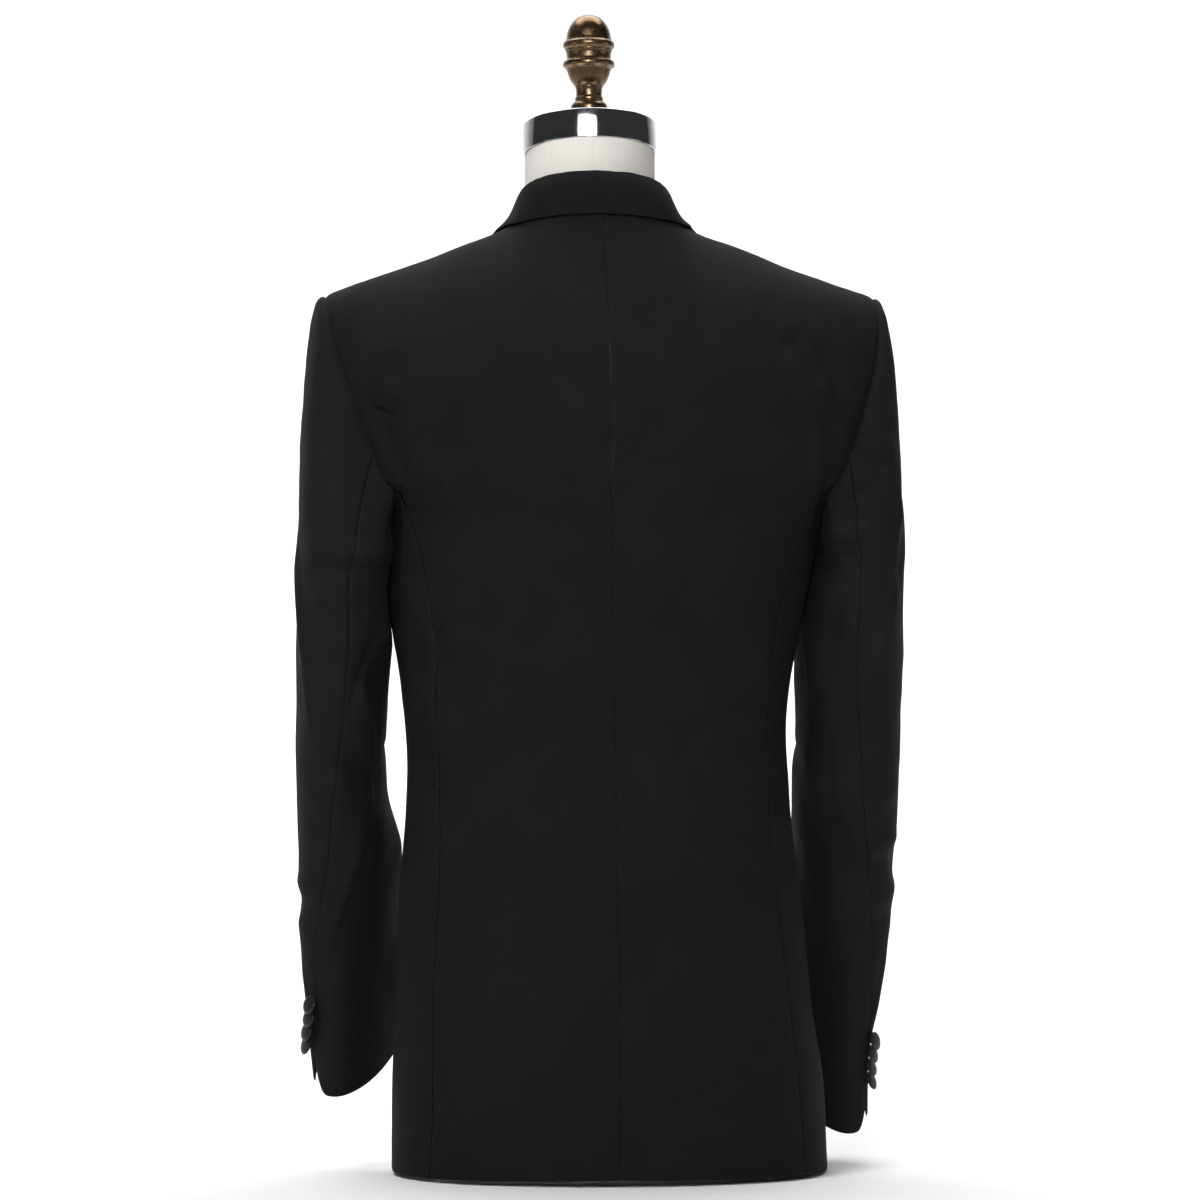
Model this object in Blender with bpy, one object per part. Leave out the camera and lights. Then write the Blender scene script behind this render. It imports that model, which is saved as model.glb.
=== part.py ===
"""A dinner jacket on a limbless dress form, in metres, +Z up.

The jacket faces -Y, its wearer's left is +X, and the form stands on the plane z = 0. Every cloth piece is a
thin closed wall: a grid of points on the garment's outer surface, and the same grid moved in by the cloth's
thickness.
"""

import math

import bmesh
import bpy
import numpy as np
from mathutils import Matrix, Vector

for old in list(bpy.data.objects):
    bpy.data.objects.remove(old)

# ---------------------------------------------------------------- driving sizes
CLOTH = 0.002            # wall of the body and sleeves: cloth, canvas and lining together
SEAM_GAP = 0.0003        # two sewn pieces stay this far apart
CHEST = 0.56             # height where the round of the body starts to turn in to the shoulders
SHOULDER_TIP = 0.214     # from the centre line to the top of the armhole seam
NECK_POINT = 0.070       # from the centre line to where collar and shoulder seam meet
BACK_HEM = 0.0055        # height of the hem above the plane that the form stands on
FRONT_HEM = 0.003
UNDERARM = 0.505         # lowest point of the armhole
ARMHOLE_CORNER = 0.530   # where the side body's seams run into the armhole
BUTTON_POINT = 0.365     # height of the front button, where the lapel starts to turn
LEFT, RIGHT = 1, -1
SIDES = (("left", LEFT), ("right", RIGHT))
TURN = 2 * math.pi


class Table:
    """Rows with named columns. The first column is the place; the others are read smoothly at any place."""

    def __init__(self, columns, *rows):
        self.columns = columns
        self.rows = np.array(sorted(rows), float)
        self.places = self.rows[:, 0]

    def at(self, name, place):
        """Monotone cubic through the column, so nothing swings past a row."""
        value = self.rows[:, self.columns.index(name)]
        step = np.diff(self.places)
        rise = np.diff(value) / step
        slope = np.zeros_like(value)
        slope[0], slope[-1] = rise[0], rise[-1]
        near = 2 * step[1:] + step[:-1]
        far = step[1:] + 2 * step[:-1]
        for i in np.flatnonzero(rise[:-1] * rise[1:] > 0):
            slope[i + 1] = (near[i] + far[i]) / (near[i] / rise[i] + far[i] / rise[i + 1])
        place = np.clip(np.asarray(place, float), self.places[0], self.places[-1])
        i = np.clip(np.searchsorted(self.places, place) - 1, 0, len(step) - 1)
        t = (place - self.places[i]) / step[i]
        stay = (1 + 2 * t) * (1 - t) ** 2
        leave = t * (1 - t) ** 2 * step[i]
        arrive = t * t * (t - 1) * step[i]
        return stay * value[i] + leave * slope[i] + (1 - stay) * value[i + 1] + arrive * slope[i + 1]


# ---------------------------------------------------------------- the cut of the body
BODY = Table(
    ("height", "half_width", "back", "front", "centre", "squareness"),
    (0.000, 0.1700, 0.129, 0.124, -0.0105, 2.15),
    (0.060, 0.1685, 0.130, 0.125, -0.0090, 2.15),
    (0.135, 0.1620, 0.128, 0.124, -0.0055, 2.15),
    (0.213, 0.1570, 0.119, 0.122, -0.0030, 2.2),
    (0.283, 0.1500, 0.107, 0.119, -0.0010, 2.25),
    (0.330, 0.1480, 0.104, 0.119, 0.0000, 2.3),
    (0.377, 0.1512, 0.108, 0.121, 0.0010, 2.3),
    (0.447, 0.1628, 0.120, 0.125, 0.0000, 2.3),
    (0.510, 0.1710, 0.129, 0.126, -0.0060, 2.3),
    (0.530, 0.1850, 0.131, 0.124, -0.0060, 2.3),
    (0.5445, 0.1970, 0.132, 0.122, -0.0060, 2.3),
    (0.575, 0.2080, 0.132, 0.118, -0.0060, 2.3),
    (0.628, 0.2250, 0.127, 0.109, -0.0045, 2.3),
    (0.680, 0.2350, 0.116, 0.099, -0.0025, 2.3),
    (0.760, 0.2400, 0.098, 0.085, 0.0010, 2.3),
)
# Half distances from the body's centre line to the edges of the panels, up the side seams and the armhole.
EDGES = Table(
    ("height", "back_edge", "front_edge"),
    (0.000, 0.1460, 0.1330),
    (0.135, 0.1380, 0.1280),
    (0.283, 0.1280, 0.1210),
    (0.377, 0.1290, 0.1230),
    (0.447, 0.1380, 0.1330),
    (0.500, 0.1530, 0.1500),
    (0.530, 0.1680, 0.1640),
    (0.5445, 0.1780, 0.1690),
    (0.575, 0.1900, 0.1760),
    (0.600, 0.1980, 0.1820),
    (0.628, 0.2075, 0.1920),
    (0.657, 0.2130, 0.2050),
    (0.6828, SHOULDER_TIP, SHOULDER_TIP),
)
# The shoulder line from neck point to tip, and the rise of the neck that the back follows to its neckline.
SHOULDER = Table(
    ("from_centre", "height", "depth"),
    (0.0000, 0.8000, 0.006),
    (0.0200, 0.7950, 0.006),
    (0.0450, 0.7700, 0.006),
    (0.0700, 0.7375, 0.006),
    (0.0775, 0.7333, 0.005),
    (0.1080, 0.7216, 0.003),
    (0.1410, 0.7090, 0.001),
    (0.1770, 0.6966, 0.000),
    (0.2060, 0.6868, 0.000),
    (0.2140, 0.6828, 0.000),
)
NECK_HEIGHT = 0.7375     # height of the neck points
NECKLINE_RISE = 0.0125   # the middle of the back neckline above them
# The centre-back seam, and the front edge from the rounded hem corner up to the button and the roll line.
CENTRE_SEAM = Table(
    ("height", "x"),
    (0.00, -0.0085),
    (0.22, -0.0070),
    (0.33, -0.0060),
    (0.50, -0.0020),
    (0.62, 0.0000),
    (0.76, 0.0010),
)
FRONT_EDGE = Table(
    ("height", "from_centre"),
    (0.000, 0.0660),
    (0.008, 0.0530),
    (0.024, 0.0400),
    (0.060, 0.0260),
    (0.130, 0.0100),
    (0.200, -0.0010),
    (0.280, -0.0120),
    (0.365, -0.0170),
    (0.410, -0.0080),
    (0.500, 0.0170),
    (0.600, 0.0430),
    (0.690, 0.0620),
    (0.7375, NECK_POINT),
)
# Large soft folds of the body, each a line on the back or front seen square on. Troughs are below zero.
BODY_FOLDS = (
    # face, from x, from height, to x, to height, half width, depth
    ("back", 0.172, 0.640, 0.190, 0.600, 0.010, -0.0035),
    ("back", 0.160, 0.600, 0.172, 0.575, 0.014, 0.0025),
    ("back", 0.158, 0.545, 0.166, 0.470, 0.010, -0.0035),
    ("back", 0.140, 0.452, 0.118, 0.372, 0.010, -0.0030),
    ("back", 0.156, 0.440, 0.132, 0.362, 0.009, 0.0020),
    ("back", -0.150, 0.650, -0.178, 0.624, 0.011, 0.0025),
    ("back", -0.182, 0.630, -0.196, 0.585, 0.009, -0.0030),
    ("back", -0.176, 0.585, -0.168, 0.530, 0.010, -0.0030),
    ("back", -0.088, 0.374, -0.124, 0.382, 0.010, 0.0022),
    ("back", -0.070, 0.345, -0.128, 0.338, 0.012, -0.0030),
    ("back", -0.088, 0.312, -0.132, 0.318, 0.010, 0.0022),
    ("back", -0.096, 0.272, -0.130, 0.262, 0.011, -0.0022),
    ("back", -0.020, 0.120, 0.060, 0.060, 0.022, 0.0016),
    ("front", 0.036, 0.356, 0.098, 0.392, 0.012, -0.0026),
    ("front", 0.038, 0.386, 0.090, 0.430, 0.012, 0.0020),
    ("front", -0.036, 0.354, -0.094, 0.384, 0.012, -0.0026),
    ("front", -0.038, 0.380, -0.090, 0.420, 0.012, 0.0020),
    ("front", 0.134, 0.600, 0.150, 0.540, 0.012, -0.0030),
    ("front", -0.136, 0.604, -0.152, 0.546, 0.012, -0.0030),
    ("front", 0.070, 0.260, 0.112, 0.160, 0.020, 0.0016),
    ("front", -0.074, 0.250, -0.114, 0.150, 0.020, 0.0016),
)


def crease(across, along, half_width, depth):
    """Height of a soft fold at a distance across it. along runs 0 to 1 on its line; it fades beyond."""
    past_end = np.maximum(np.maximum(-along, along - 1), 0)
    return depth * np.exp(-((across / half_width) ** 2)) * np.exp(-((past_end / 0.25) ** 2))


def body_fold_height(x, height, face):
    total = np.zeros(np.broadcast(x, height).shape)
    for on, x0, z0, x1, z1, half_width, depth in BODY_FOLDS:
        if on == face:
            run = math.hypot(x1 - x0, z1 - z0)
            across = ((x - x0) * (z1 - z0) - (height - z0) * (x1 - x0)) / run
            along = ((x - x0) * (x1 - x0) + (height - z0) * (z1 - z0)) / run**2
            total = total + crease(across, along, half_width, depth)
    return total


def section_depth(x, height, face):
    """How far the round of the body stands behind (or before) the side line at x."""
    across = np.minimum(np.abs(x - BODY.at("centre", height)) / BODY.at("half_width", height), 1)
    power = BODY.at("squareness", height)
    return BODY.at(face, height) * (1 - across**power) ** (1 / power)


def panel_edges(side, height, face):
    """World x of a panel's inner and outer edge at a height."""
    centre = BODY.at("centre", height)
    if face == "back":
        inner = CENTRE_SEAM.at("x", height)
    else:
        inner = centre + side * FRONT_EDGE.at("from_centre", height)
    outer = centre + side * EDGES.at(face + "_edge", height)
    return inner, outer


def panel_top(share, face):
    """A panel's line at the top: height and depth of its ridge, its roundness, and the angle of its end."""
    start = 0.0 if face == "back" else NECK_POINT
    reach = start + share * (SHOULDER_TIP - start)
    height = SHOULDER.at("height", reach)
    depth = SHOULDER.at("depth", reach)
    if face == "front":
        return height, depth, 1.9 + 0.3 * share, math.pi / 2
    roundness = 2.12 + 0.38 * np.clip(reach / 0.11, 0, 1) ** 2
    neckline = NECK_HEIGHT + NECKLINE_RISE * np.sqrt(np.maximum(1 - (reach / NECK_POINT) ** 2, 0))
    up = np.clip((neckline - CHEST) / (height - CHEST), 0, 1)
    last = np.where(reach < NECK_POINT, np.arcsin(up ** (roundness / 2)), math.pi / 2)
    return height, depth, roundness, last


def bare_panel(side, share, rise, face):
    """Point of the back or front: share 0 to 1 from its inner edge, rise 0 to 1 up to the chest, on to 2."""
    hem = BACK_HEM + (FRONT_HEM - BACK_HEM) * share if face == "back" else FRONT_HEM
    top, top_depth, roundness, last = panel_top(share, face)
    over = np.clip(rise - 1, 0, 1) * last
    height = np.where(
        rise <= 1,
        hem + (CHEST - hem) * rise,
        CHEST + (top - CHEST) * np.sin(over) ** (2 / roundness),
    )
    turned_in = np.where(rise <= 1, 1, np.abs(np.cos(over)) ** (2 / roundness))
    inner, outer = panel_edges(side, height, face)
    x = inner + share * (outer - inner)
    depth = section_depth(x, height, face)
    if face == "front":
        depth, top_depth = -depth, top_depth - SEAM_GAP
    y = top_depth + (depth - top_depth) * turned_in
    return np.stack(np.broadcast_arrays(x, y, height), -1)


def outward(point_at, u, v, du, dv, away):
    """Unit normals of a surface given by two numbers, turned away from the points in away."""
    along_u = point_at(u + du, v) - point_at(u - du, v)
    along_v = point_at(u, v + dv) - point_at(u, v - dv)
    normal = np.cross(along_u, along_v)
    normal /= np.maximum(np.linalg.norm(normal, axis=-1, keepdims=True), 1e-12)
    facing = np.sum(normal * (point_at(u, v) - away), axis=-1, keepdims=True)
    return normal * np.where(facing < 0, -1, 1)


BODY_AXIS = np.array((0.0, 0.0, 0.30))
FOLD_END = 0.022         # folds start to die out this far from the armhole


def folded_panel(side, share, rise, face):
    """The panel with its folds, which die out before the armhole."""
    def bare(u, v):
        return bare_panel(side, u, v, face)
    point = bare(share, rise)
    normal = outward(bare, share, rise, 0.01, 0.01, BODY_AXIS)
    at_armhole = np.clip((point[..., 2] - ARMHOLE_CORNER) / 0.02, 0, 1)
    near_edge = 1 - np.clip((1 - share) * SHOULDER_TIP / FOLD_END, 0, 1) ** 2
    fold = body_fold_height(point[..., 0], point[..., 2], face) * (1 - at_armhole * near_edge)
    return point + normal * fold[..., None]


def lifted_panel(side, share, rise, face, lift):
    """The folded panel, moved out along its own normals."""
    def folded(u, v):
        return folded_panel(side, u, v, face)
    normal = outward(folded, share, rise, 0.01, 0.01, BODY_AXIS)
    lift = np.broadcast_to(lift, np.broadcast(share, rise).shape)
    return folded(share, rise) + normal * lift[..., None]


def place_on_panel(side, x, height, face):
    """The share and rise at which a panel passes through x and height."""
    inner, outer = panel_edges(side, height, face)
    share = (x - inner) / (outer - inner)
    hem = BACK_HEM + (FRONT_HEM - BACK_HEM) * share if face == "back" else FRONT_HEM
    top, _, roundness, last = panel_top(share, face)
    up = np.clip((height - CHEST) / (top - CHEST), 0, 1)
    rise = np.where(
        height <= CHEST,
        (height - hem) / (CHEST - hem),
        1 + np.arcsin(up ** (roundness / 2)) / last,
    )
    return share, rise


# ---------------------------------------------------------------- meshes and materials
def material(name, colour, roughness, metallic=0.0):
    made = bpy.data.materials.new(name)
    made.use_nodes = True
    shader = made.node_tree.nodes["Principled BSDF"]
    shader.inputs["Base Color"].default_value = (*colour, 1)
    shader.inputs["Roughness"].default_value = roughness
    shader.inputs["Metallic"].default_value = metallic
    return made


WOOL = material("wool", (0.011, 0.011, 0.012), 0.85)
SILK = material("silk", (0.010, 0.010, 0.011), 0.35)
LINEN = material("linen", (0.62, 0.57, 0.48), 0.90)
CHROME = material("chrome", (0.60, 0.62, 0.64), 0.12, 1.0)
BRONZE = material("bronze", (0.27, 0.17, 0.08), 0.38, 1.0)


def add_object(name, mesh_data, finish):
    bmesh.ops.recalc_face_normals(mesh_data, faces=mesh_data.faces)
    if mesh_data.calc_volume(signed=True) < 0:
        bmesh.ops.reverse_faces(mesh_data, faces=mesh_data.faces)
    mesh = bpy.data.meshes.new(name)
    mesh_data.to_mesh(mesh)
    mesh_data.free()
    mesh.materials.append(finish)
    mesh.shade_smooth()
    mesh.set_sharp_from_angle(angle=math.radians(50))
    made = bpy.data.objects.new(name, mesh)
    bpy.context.scene.collection.objects.link(made)
    return made


def grid_normals(grid):
    """Unit normals of a grid of points, from its rows and columns."""
    normal = np.cross(np.gradient(grid, axis=0), np.gradient(grid, axis=1))
    return normal / np.maximum(np.linalg.norm(normal, axis=-1, keepdims=True), 1e-12)


def add_wall(name, outer, inner, finish):
    """One closed wall between two grids of points of the same shape."""
    made = bmesh.new()
    rows, columns = outer.shape[:2]
    skins = [[[made.verts.new(p) for p in row] for row in skin] for skin in (outer, inner)]
    for skin in skins:
        for i in range(rows - 1):
            for j in range(columns - 1):
                made.faces.new((skin[i][j], skin[i][j + 1], skin[i + 1][j + 1], skin[i + 1][j]))
    rim = [(0, j) for j in range(columns - 1)]
    rim += [(i, columns - 1) for i in range(rows - 1)]
    rim += [(rows - 1, j) for j in range(columns - 1, 0, -1)]
    rim += [(i, 0) for i in range(rows - 1, 0, -1)]
    for (i, j), (m, n) in zip(rim, rim[1:] + rim[:1]):
        made.faces.new((skins[0][i][j], skins[0][m][n], skins[1][m][n], skins[1][i][j]))
    return add_object(name, made, finish)


def add_turned(name, profile, sides, finish, place=Matrix.Identity(4)):
    """A closed turned piece. profile lists (radius, height) from its lower end up."""
    made = bmesh.new()
    rings = []
    for radius, height in profile:
        count = sides if radius > 0 else 1
        ring = []
        for k in range(count):
            angle = TURN * k / sides
            point = Vector((radius * math.cos(angle), radius * math.sin(angle), height))
            ring.append(made.verts.new(place @ point))
        rings.append(ring)
    for low, high in zip(rings, rings[1:]):
        for k in range(sides):
            below = low[k % len(low)], low[(k + 1) % len(low)]
            above = high[(k + 1) % len(high)], high[k % len(high)]
            made.faces.new(list(dict.fromkeys(below + above)))
    return add_object(name, made, finish)


# ---------------------------------------------------------------- back panels
BACK_SHARES = np.array((
    0.0, 0.12, 0.22, 0.285, 0.315, NECK_POINT / SHOULDER_TIP, 0.45, 0.58, 0.70, 0.81, 0.91, 1.0,
))
ROW_HEIGHTS = np.array((
    FRONT_HEM, 0.04, 0.08, 0.12, 0.16, 0.20, 0.24, 0.28, 0.32, 0.36, 0.40, 0.435, 0.465, 0.49, 0.51, 0.53,
    CHEST,
))
LOW_RISES = (ROW_HEIGHTS - FRONT_HEM) / (CHEST - FRONT_HEM)
HIGH_RISES = 1 + np.array((0.14, 0.28, 0.42, 0.56, 0.70, 0.85, 1.0))
RISES = np.concatenate((LOW_RISES, HIGH_RISES))


def add_back(name, side):
    """Half a back, from the centre-back seam to the side body and the armhole."""
    width = SHOULDER_TIP
    shares = SEAM_GAP / 2 / width + BACK_SHARES * (1 - 2 * SEAM_GAP / width)
    share, rise = np.meshgrid(shares, RISES)
    outer = lifted_panel(side, share, rise, "back", 0)
    inner = lifted_panel(side, share, rise, "back", -CLOTH)
    return add_wall("back_" + name, outer, inner, WOOL)


for name, side in SIDES:
    add_back(name, side)


# ---------------------------------------------------------------- side bodies
SIDE_COLUMNS = 7
LAST_SHARED_ROW = 13     # up to here its rows lie at the heights of the back's and front's rows


def side_turn(side, height, face):
    """Angle round the body's section, from straight behind, of the edge of the back or front."""
    reach = EDGES.at(face + "_edge", height) / BODY.at("half_width", height)
    angle = np.arcsin(np.clip(reach, 0, 1) ** (BODY.at("squareness", height) / 2))
    return angle if face == "back" else math.pi - angle


def side_body(side, share, rise):
    """Point of a side body: share 0 to 1 from back to front, rise 0 to 1 up to the armhole."""
    top = UNDERARM + (ARMHOLE_CORNER - UNDERARM) * np.abs(2 * share - 1) ** 2
    shared = LOW_RISES[LAST_SHARED_ROW]
    below_armhole = FRONT_HEM + (CHEST - FRONT_HEM) * np.minimum(rise, shared)
    height = below_armhole + (top - below_armhole) * np.clip((rise - shared) / (1 - shared), 0, 1)
    first = side_turn(side, height, "back")
    last = side_turn(side, height, "front")
    angle = first + share * (last - first)
    power = 2 / BODY.at("squareness", height)
    depth = np.where(np.cos(angle) > 0, BODY.at("back", height), BODY.at("front", height))
    x = BODY.at("centre", height) + side * BODY.at("half_width", height) * np.sin(angle) ** power
    y = depth * np.sign(np.cos(angle)) * np.abs(np.cos(angle)) ** power
    point = np.stack((x, y, height), -1)
    fold = body_fold_height(x, height, "back") * np.clip(y / 0.04, 0, 1)
    fold = fold + body_fold_height(x, height, "front") * np.clip(-y / 0.04, 0, 1)
    point[..., 0] += side * fold * 0.6
    point[..., 1] += fold * 0.8 * np.sign(y)
    return point


def add_side(name, side):
    width = 0.12
    shares = SEAM_GAP / width + np.linspace(0, 1, SIDE_COLUMNS) * (1 - 2 * SEAM_GAP / width)
    shared = LOW_RISES[LAST_SHARED_ROW]
    rises = np.concatenate((LOW_RISES[:LAST_SHARED_ROW + 1], ((1 + shared) / 2, 1.0)))
    share, rise = np.meshgrid(shares, rises)

    def point_at(u, v):
        return side_body(side, u, v)
    normal = outward(point_at, share, rise, 0.01, 0.01, BODY_AXIS)
    outer = point_at(share, rise)
    return add_wall("side_" + name, outer, outer - CLOTH * normal, WOOL)


for name, side in SIDES:
    add_side(name, side)


# ---------------------------------------------------------------- fronts
FRONT_SHARES = np.array((0.0, 0.08, 0.20, 0.34, 0.48, 0.61, 0.74, 0.84, 0.92, 1.0))
LAP_LIFT = 0.0031        # the left front lies this far out over the right one at the button
LAP_X, LAP_X_FADE = 0.032, 0.006                 # out to here, and over this far
LAP_MIDDLE, LAP_REACH, LAP_FADE = 0.31, 0.180, 0.012   # height, up and down from it, and over this far


def front_lift(side, x, height):
    """The left front stands out over the right one where they lap."""
    if side == RIGHT:
        return np.zeros(np.broadcast(x, height).shape)
    near_centre = 1 / (1 + np.exp((x - LAP_X) / LAP_X_FADE))
    at_lap = 1 / (1 + np.exp((np.abs(height - LAP_MIDDLE) - LAP_REACH) / LAP_FADE))
    return LAP_LIFT * near_centre * at_lap


def front_skin(side, share, rise, lift):
    """Points of a front, moved out by lift."""
    flat = bare_panel(side, share, rise, "front")
    lap = front_lift(side, flat[..., 0], flat[..., 2])
    return lifted_panel(side, share, rise, "front", lift + lap)


def add_front(name, side):
    width = 0.13
    shares = FRONT_SHARES * (1 - SEAM_GAP / width)
    rises = np.concatenate(((0.0, 0.02, 0.05), LOW_RISES[2:], HIGH_RISES))
    share, rise = np.meshgrid(shares, rises)
    outer = front_skin(side, share, rise, 0)
    inner = front_skin(side, share, rise, -CLOTH)
    return add_wall("front_" + name, outer, inner, WOOL)


for name, side in SIDES:
    add_front(name, side)


# ---------------------------------------------------------------- lapels
LAPEL_WALL = 0.0016
LAPEL_STAND_OFF = 0.0013  # its under side over the front
LAPEL_FOOT = {LEFT: BUTTON_POINT + 0.012, RIGHT: 0.443}  # the right one runs on under the left front
LAPEL_UNDERLAP = 0.0012  # its inner edge starts this far before the front's edge
ROLL_HEIGHT, ROLL_WIDTH = 0.0022, 0.009   # it stands this much higher at the fold, over about this width
LAPEL = Table(
    ("height", "width"),
    (0.377, 0.003),
    (0.410, 0.013),
    (0.450, 0.025),
    (0.500, 0.040),
    (0.560, 0.056),
    (0.620, 0.070),
    (0.683, 0.080),
)
# The top edge: from the roll line down along the gorge to the notch, and out to the raised peak.
LAPEL_TOP = Table(
    ("share", "height"),
    (0.00, 0.682),
    (0.30, 0.668),
    (0.56, 0.656),
    (0.64, 0.660),
    (1.00, 0.683),
)


def lapel_point(side, share, rise, lift):
    """Point of a lapel on the front below it: share 0 to 1 from the roll line out, rise 0 to 1 up."""
    foot = LAPEL_FOOT[side]
    height = foot + (LAPEL_TOP.at("height", share) - foot) * rise
    inner = panel_edges(side, height, "front")[0]
    across = -LAPEL_UNDERLAP + share * (LAPEL.at("width", height) + LAPEL_UNDERLAP)
    on_front, front_rise = place_on_panel(side, inner + side * across, height, "front")
    roll = ROLL_HEIGHT * np.exp(-across / ROLL_WIDTH)
    lap = front_lift(side, inner + side * across, height)
    return lifted_panel(side, on_front, front_rise, "front", lift + roll + lap)


def add_lapel(name, side):
    shares = np.array((0.0, 0.08, 0.2, 0.38, 0.56, 0.64, 0.82, 1.0))
    rises = np.concatenate((np.linspace(0, 0.9, 13), (0.95, 1.0)))
    share, rise = np.meshgrid(shares, rises)
    under = lapel_point(side, share, rise, LAPEL_STAND_OFF)
    outer = lapel_point(side, share, rise, LAPEL_STAND_OFF + LAPEL_WALL)
    return add_wall("lapel_" + name, outer, under, SILK)


for name, side in SIDES:
    add_lapel(name, side)


# ---------------------------------------------------------------- sleeves
# Sections of each hanging sleeve, from the upper arm to the cuff. across and deep are half sizes. deep runs
# from the back of the sleeve to its front, turned so that its back end stands out.
SLEEVE_COLUMNS = ("height", "out", "forward", "deep", "across", "turned", "pitch")
SLEEVES = {
    LEFT: Table(
        SLEEVE_COLUMNS,
        (0.455, 0.1985, 0.004, 0.080, 0.0335, 6, 4),
        (0.400, 0.1975, 0.010, 0.074, 0.0362, 6, 6),
        (0.345, 0.1978, 0.018, 0.069, 0.0350, 8, 8),
        (0.300, 0.1970, 0.028, 0.066, 0.0340, 11, 10),
        (0.252, 0.1930, 0.040, 0.063, 0.0355, 16, 13),
        (0.205, 0.1922, 0.053, 0.061, 0.0335, 21, 16),
        (0.150, 0.1880, 0.068, 0.059, 0.0300, 25, 20),
        (0.110, 0.1828, 0.079, 0.0575, 0.0268, 27, 25),
        (0.086, 0.1768, 0.085, 0.056, 0.0245, 26, 33),
    ),
    RIGHT: Table(
        SLEEVE_COLUMNS,
        (0.455, 0.2010, 0.004, 0.080, 0.0345, 5, 4),
        (0.400, 0.1992, 0.012, 0.075, 0.0400, 5, 6),
        (0.345, 0.2000, 0.020, 0.070, 0.0385, 6, 8),
        (0.300, 0.1990, 0.030, 0.067, 0.0380, 8, 10),
        (0.252, 0.1985, 0.045, 0.063, 0.0372, 12, 13),
        (0.205, 0.1975, 0.062, 0.061, 0.0350, 16, 17),
        (0.150, 0.1930, 0.082, 0.0585, 0.0310, 20, 22),
        (0.100, 0.1885, 0.098, 0.057, 0.0275, 22, 27),
        (0.053, 0.1865, 0.108, 0.056, 0.0260, 22, 30),
    ),
}
SLEEVE_ROUNDNESS = 2.15
SLEEVE_TOP_ROWS = 8      # rows from the armhole to the first section
SLEEVE_LOW_ROWS = 14     # and from there to the cuff
CUFF_NOTCH = 0.016       # the corners of the cuff vent are cut back this far
# The two seams, as shares of the way round from the outside of the arm: back first, then front.
SLEEVE_SEAMS = Table(
    ("down", "hindarm", "forearm"),
    (0.0, 0.30, 0.66),
    (1.0, 0.29, 0.66),
    (1.5, 0.25, 0.67),
    (2.0, 0.185, 0.68),
)
# Shares count outside, back, inside.
SLEEVE_FOLDS = (
    # side, share of the way round, height, to share, to height, half width, depth
    (LEFT, 0.39, 0.505, 0.39, 0.412, 0.022, 0.0060),
    (LEFT, 0.17, 0.478, 0.42, 0.462, 0.012, -0.0040),
    (LEFT, 0.16, 0.505, 0.38, 0.492, 0.013, 0.0025),
    (LEFT, 0.18, 0.400, 0.38, 0.384, 0.017, -0.0045),
    (LEFT, 0.34, 0.390, 0.38, 0.325, 0.012, 0.0035),
    (LEFT, 0.25, 0.318, 0.44, 0.308, 0.010, -0.0040),
    (LEFT, 0.06, 0.460, 0.26, 0.325, 0.014, 0.0028),
    (LEFT, 0.40, 0.300, 0.27, 0.185, 0.010, 0.0026),
    (LEFT, 0.08, 0.214, 0.26, 0.202, 0.010, -0.0024),
    (LEFT, 0.26, 0.160, 0.22, 0.115, 0.014, -0.0026),
    (LEFT, 0.62, 0.440, 0.88, 0.418, 0.014, -0.0036),
    (LEFT, 0.64, 0.352, 0.86, 0.370, 0.012, -0.0040),
    (LEFT, 0.66, 0.328, 0.90, 0.336, 0.013, 0.0028),
    (LEFT, 0.70, 0.250, 0.86, 0.232, 0.012, -0.0024),
    (RIGHT, 0.39, 0.520, 0.39, 0.445, 0.020, 0.0050),
    (RIGHT, 0.12, 0.532, 0.30, 0.536, 0.012, -0.0045),
    (RIGHT, 0.10, 0.556, 0.28, 0.562, 0.012, 0.0028),
    (RIGHT, 0.28, 0.486, 0.44, 0.478, 0.012, -0.0035),
    (RIGHT, 0.03, 0.520, 0.25, 0.385, 0.013, 0.0034),
    (RIGHT, 0.46, 0.430, 0.31, 0.285, 0.011, 0.0038),
    (RIGHT, 0.36, 0.420, 0.42, 0.340, 0.011, -0.0036),
    (RIGHT, 0.12, 0.246, 0.28, 0.236, 0.011, -0.0030),
    (RIGHT, 0.10, 0.222, 0.24, 0.214, 0.010, 0.0020),
    (RIGHT, 0.62, 0.452, 0.86, 0.430, 0.014, -0.0038),
    (RIGHT, 0.66, 0.350, 0.90, 0.362, 0.012, -0.0040),
    (RIGHT, 0.66, 0.324, 0.88, 0.330, 0.013, 0.0028),
    (RIGHT, 0.72, 0.240, 0.88, 0.226, 0.012, -0.0024),
)
SLEEVE_ROUND = 0.34      # length round the sleeve that the shares above stand for


def armhole(side):
    """Dense points round the armhole: tip of the shoulder, down the back, underarm, up the front."""
    rises = np.linspace(2, place_on_panel(side, *armhole_corner(side, "back"), "back")[1], 60)
    back = folded_panel(side, np.ones(60), rises, "back")
    under = side_body(side, np.linspace(0, 1, 41), np.ones(41))
    rises = np.linspace(place_on_panel(side, *armhole_corner(side, "front"), "front")[1], 2, 60)
    front = folded_panel(side, np.ones(60), rises, "front")
    return np.concatenate((back[:-1], under[:21])), np.concatenate((under[20:], front[1:]))


def armhole_corner(side, face):
    return panel_edges(side, ARMHOLE_CORNER, face)[1], ARMHOLE_CORNER


def along_line(points, share):
    """Points at shares of the length of a line of points."""
    step = np.linalg.norm(np.diff(points, axis=0), axis=1)
    run = np.concatenate(((0,), np.cumsum(step))) / step.sum()
    return np.stack([np.interp(share, run, points[:, k]) for k in range(3)], -1)


ARMHOLES = {side: armhole(side) for side in (LEFT, RIGHT)}


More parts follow.
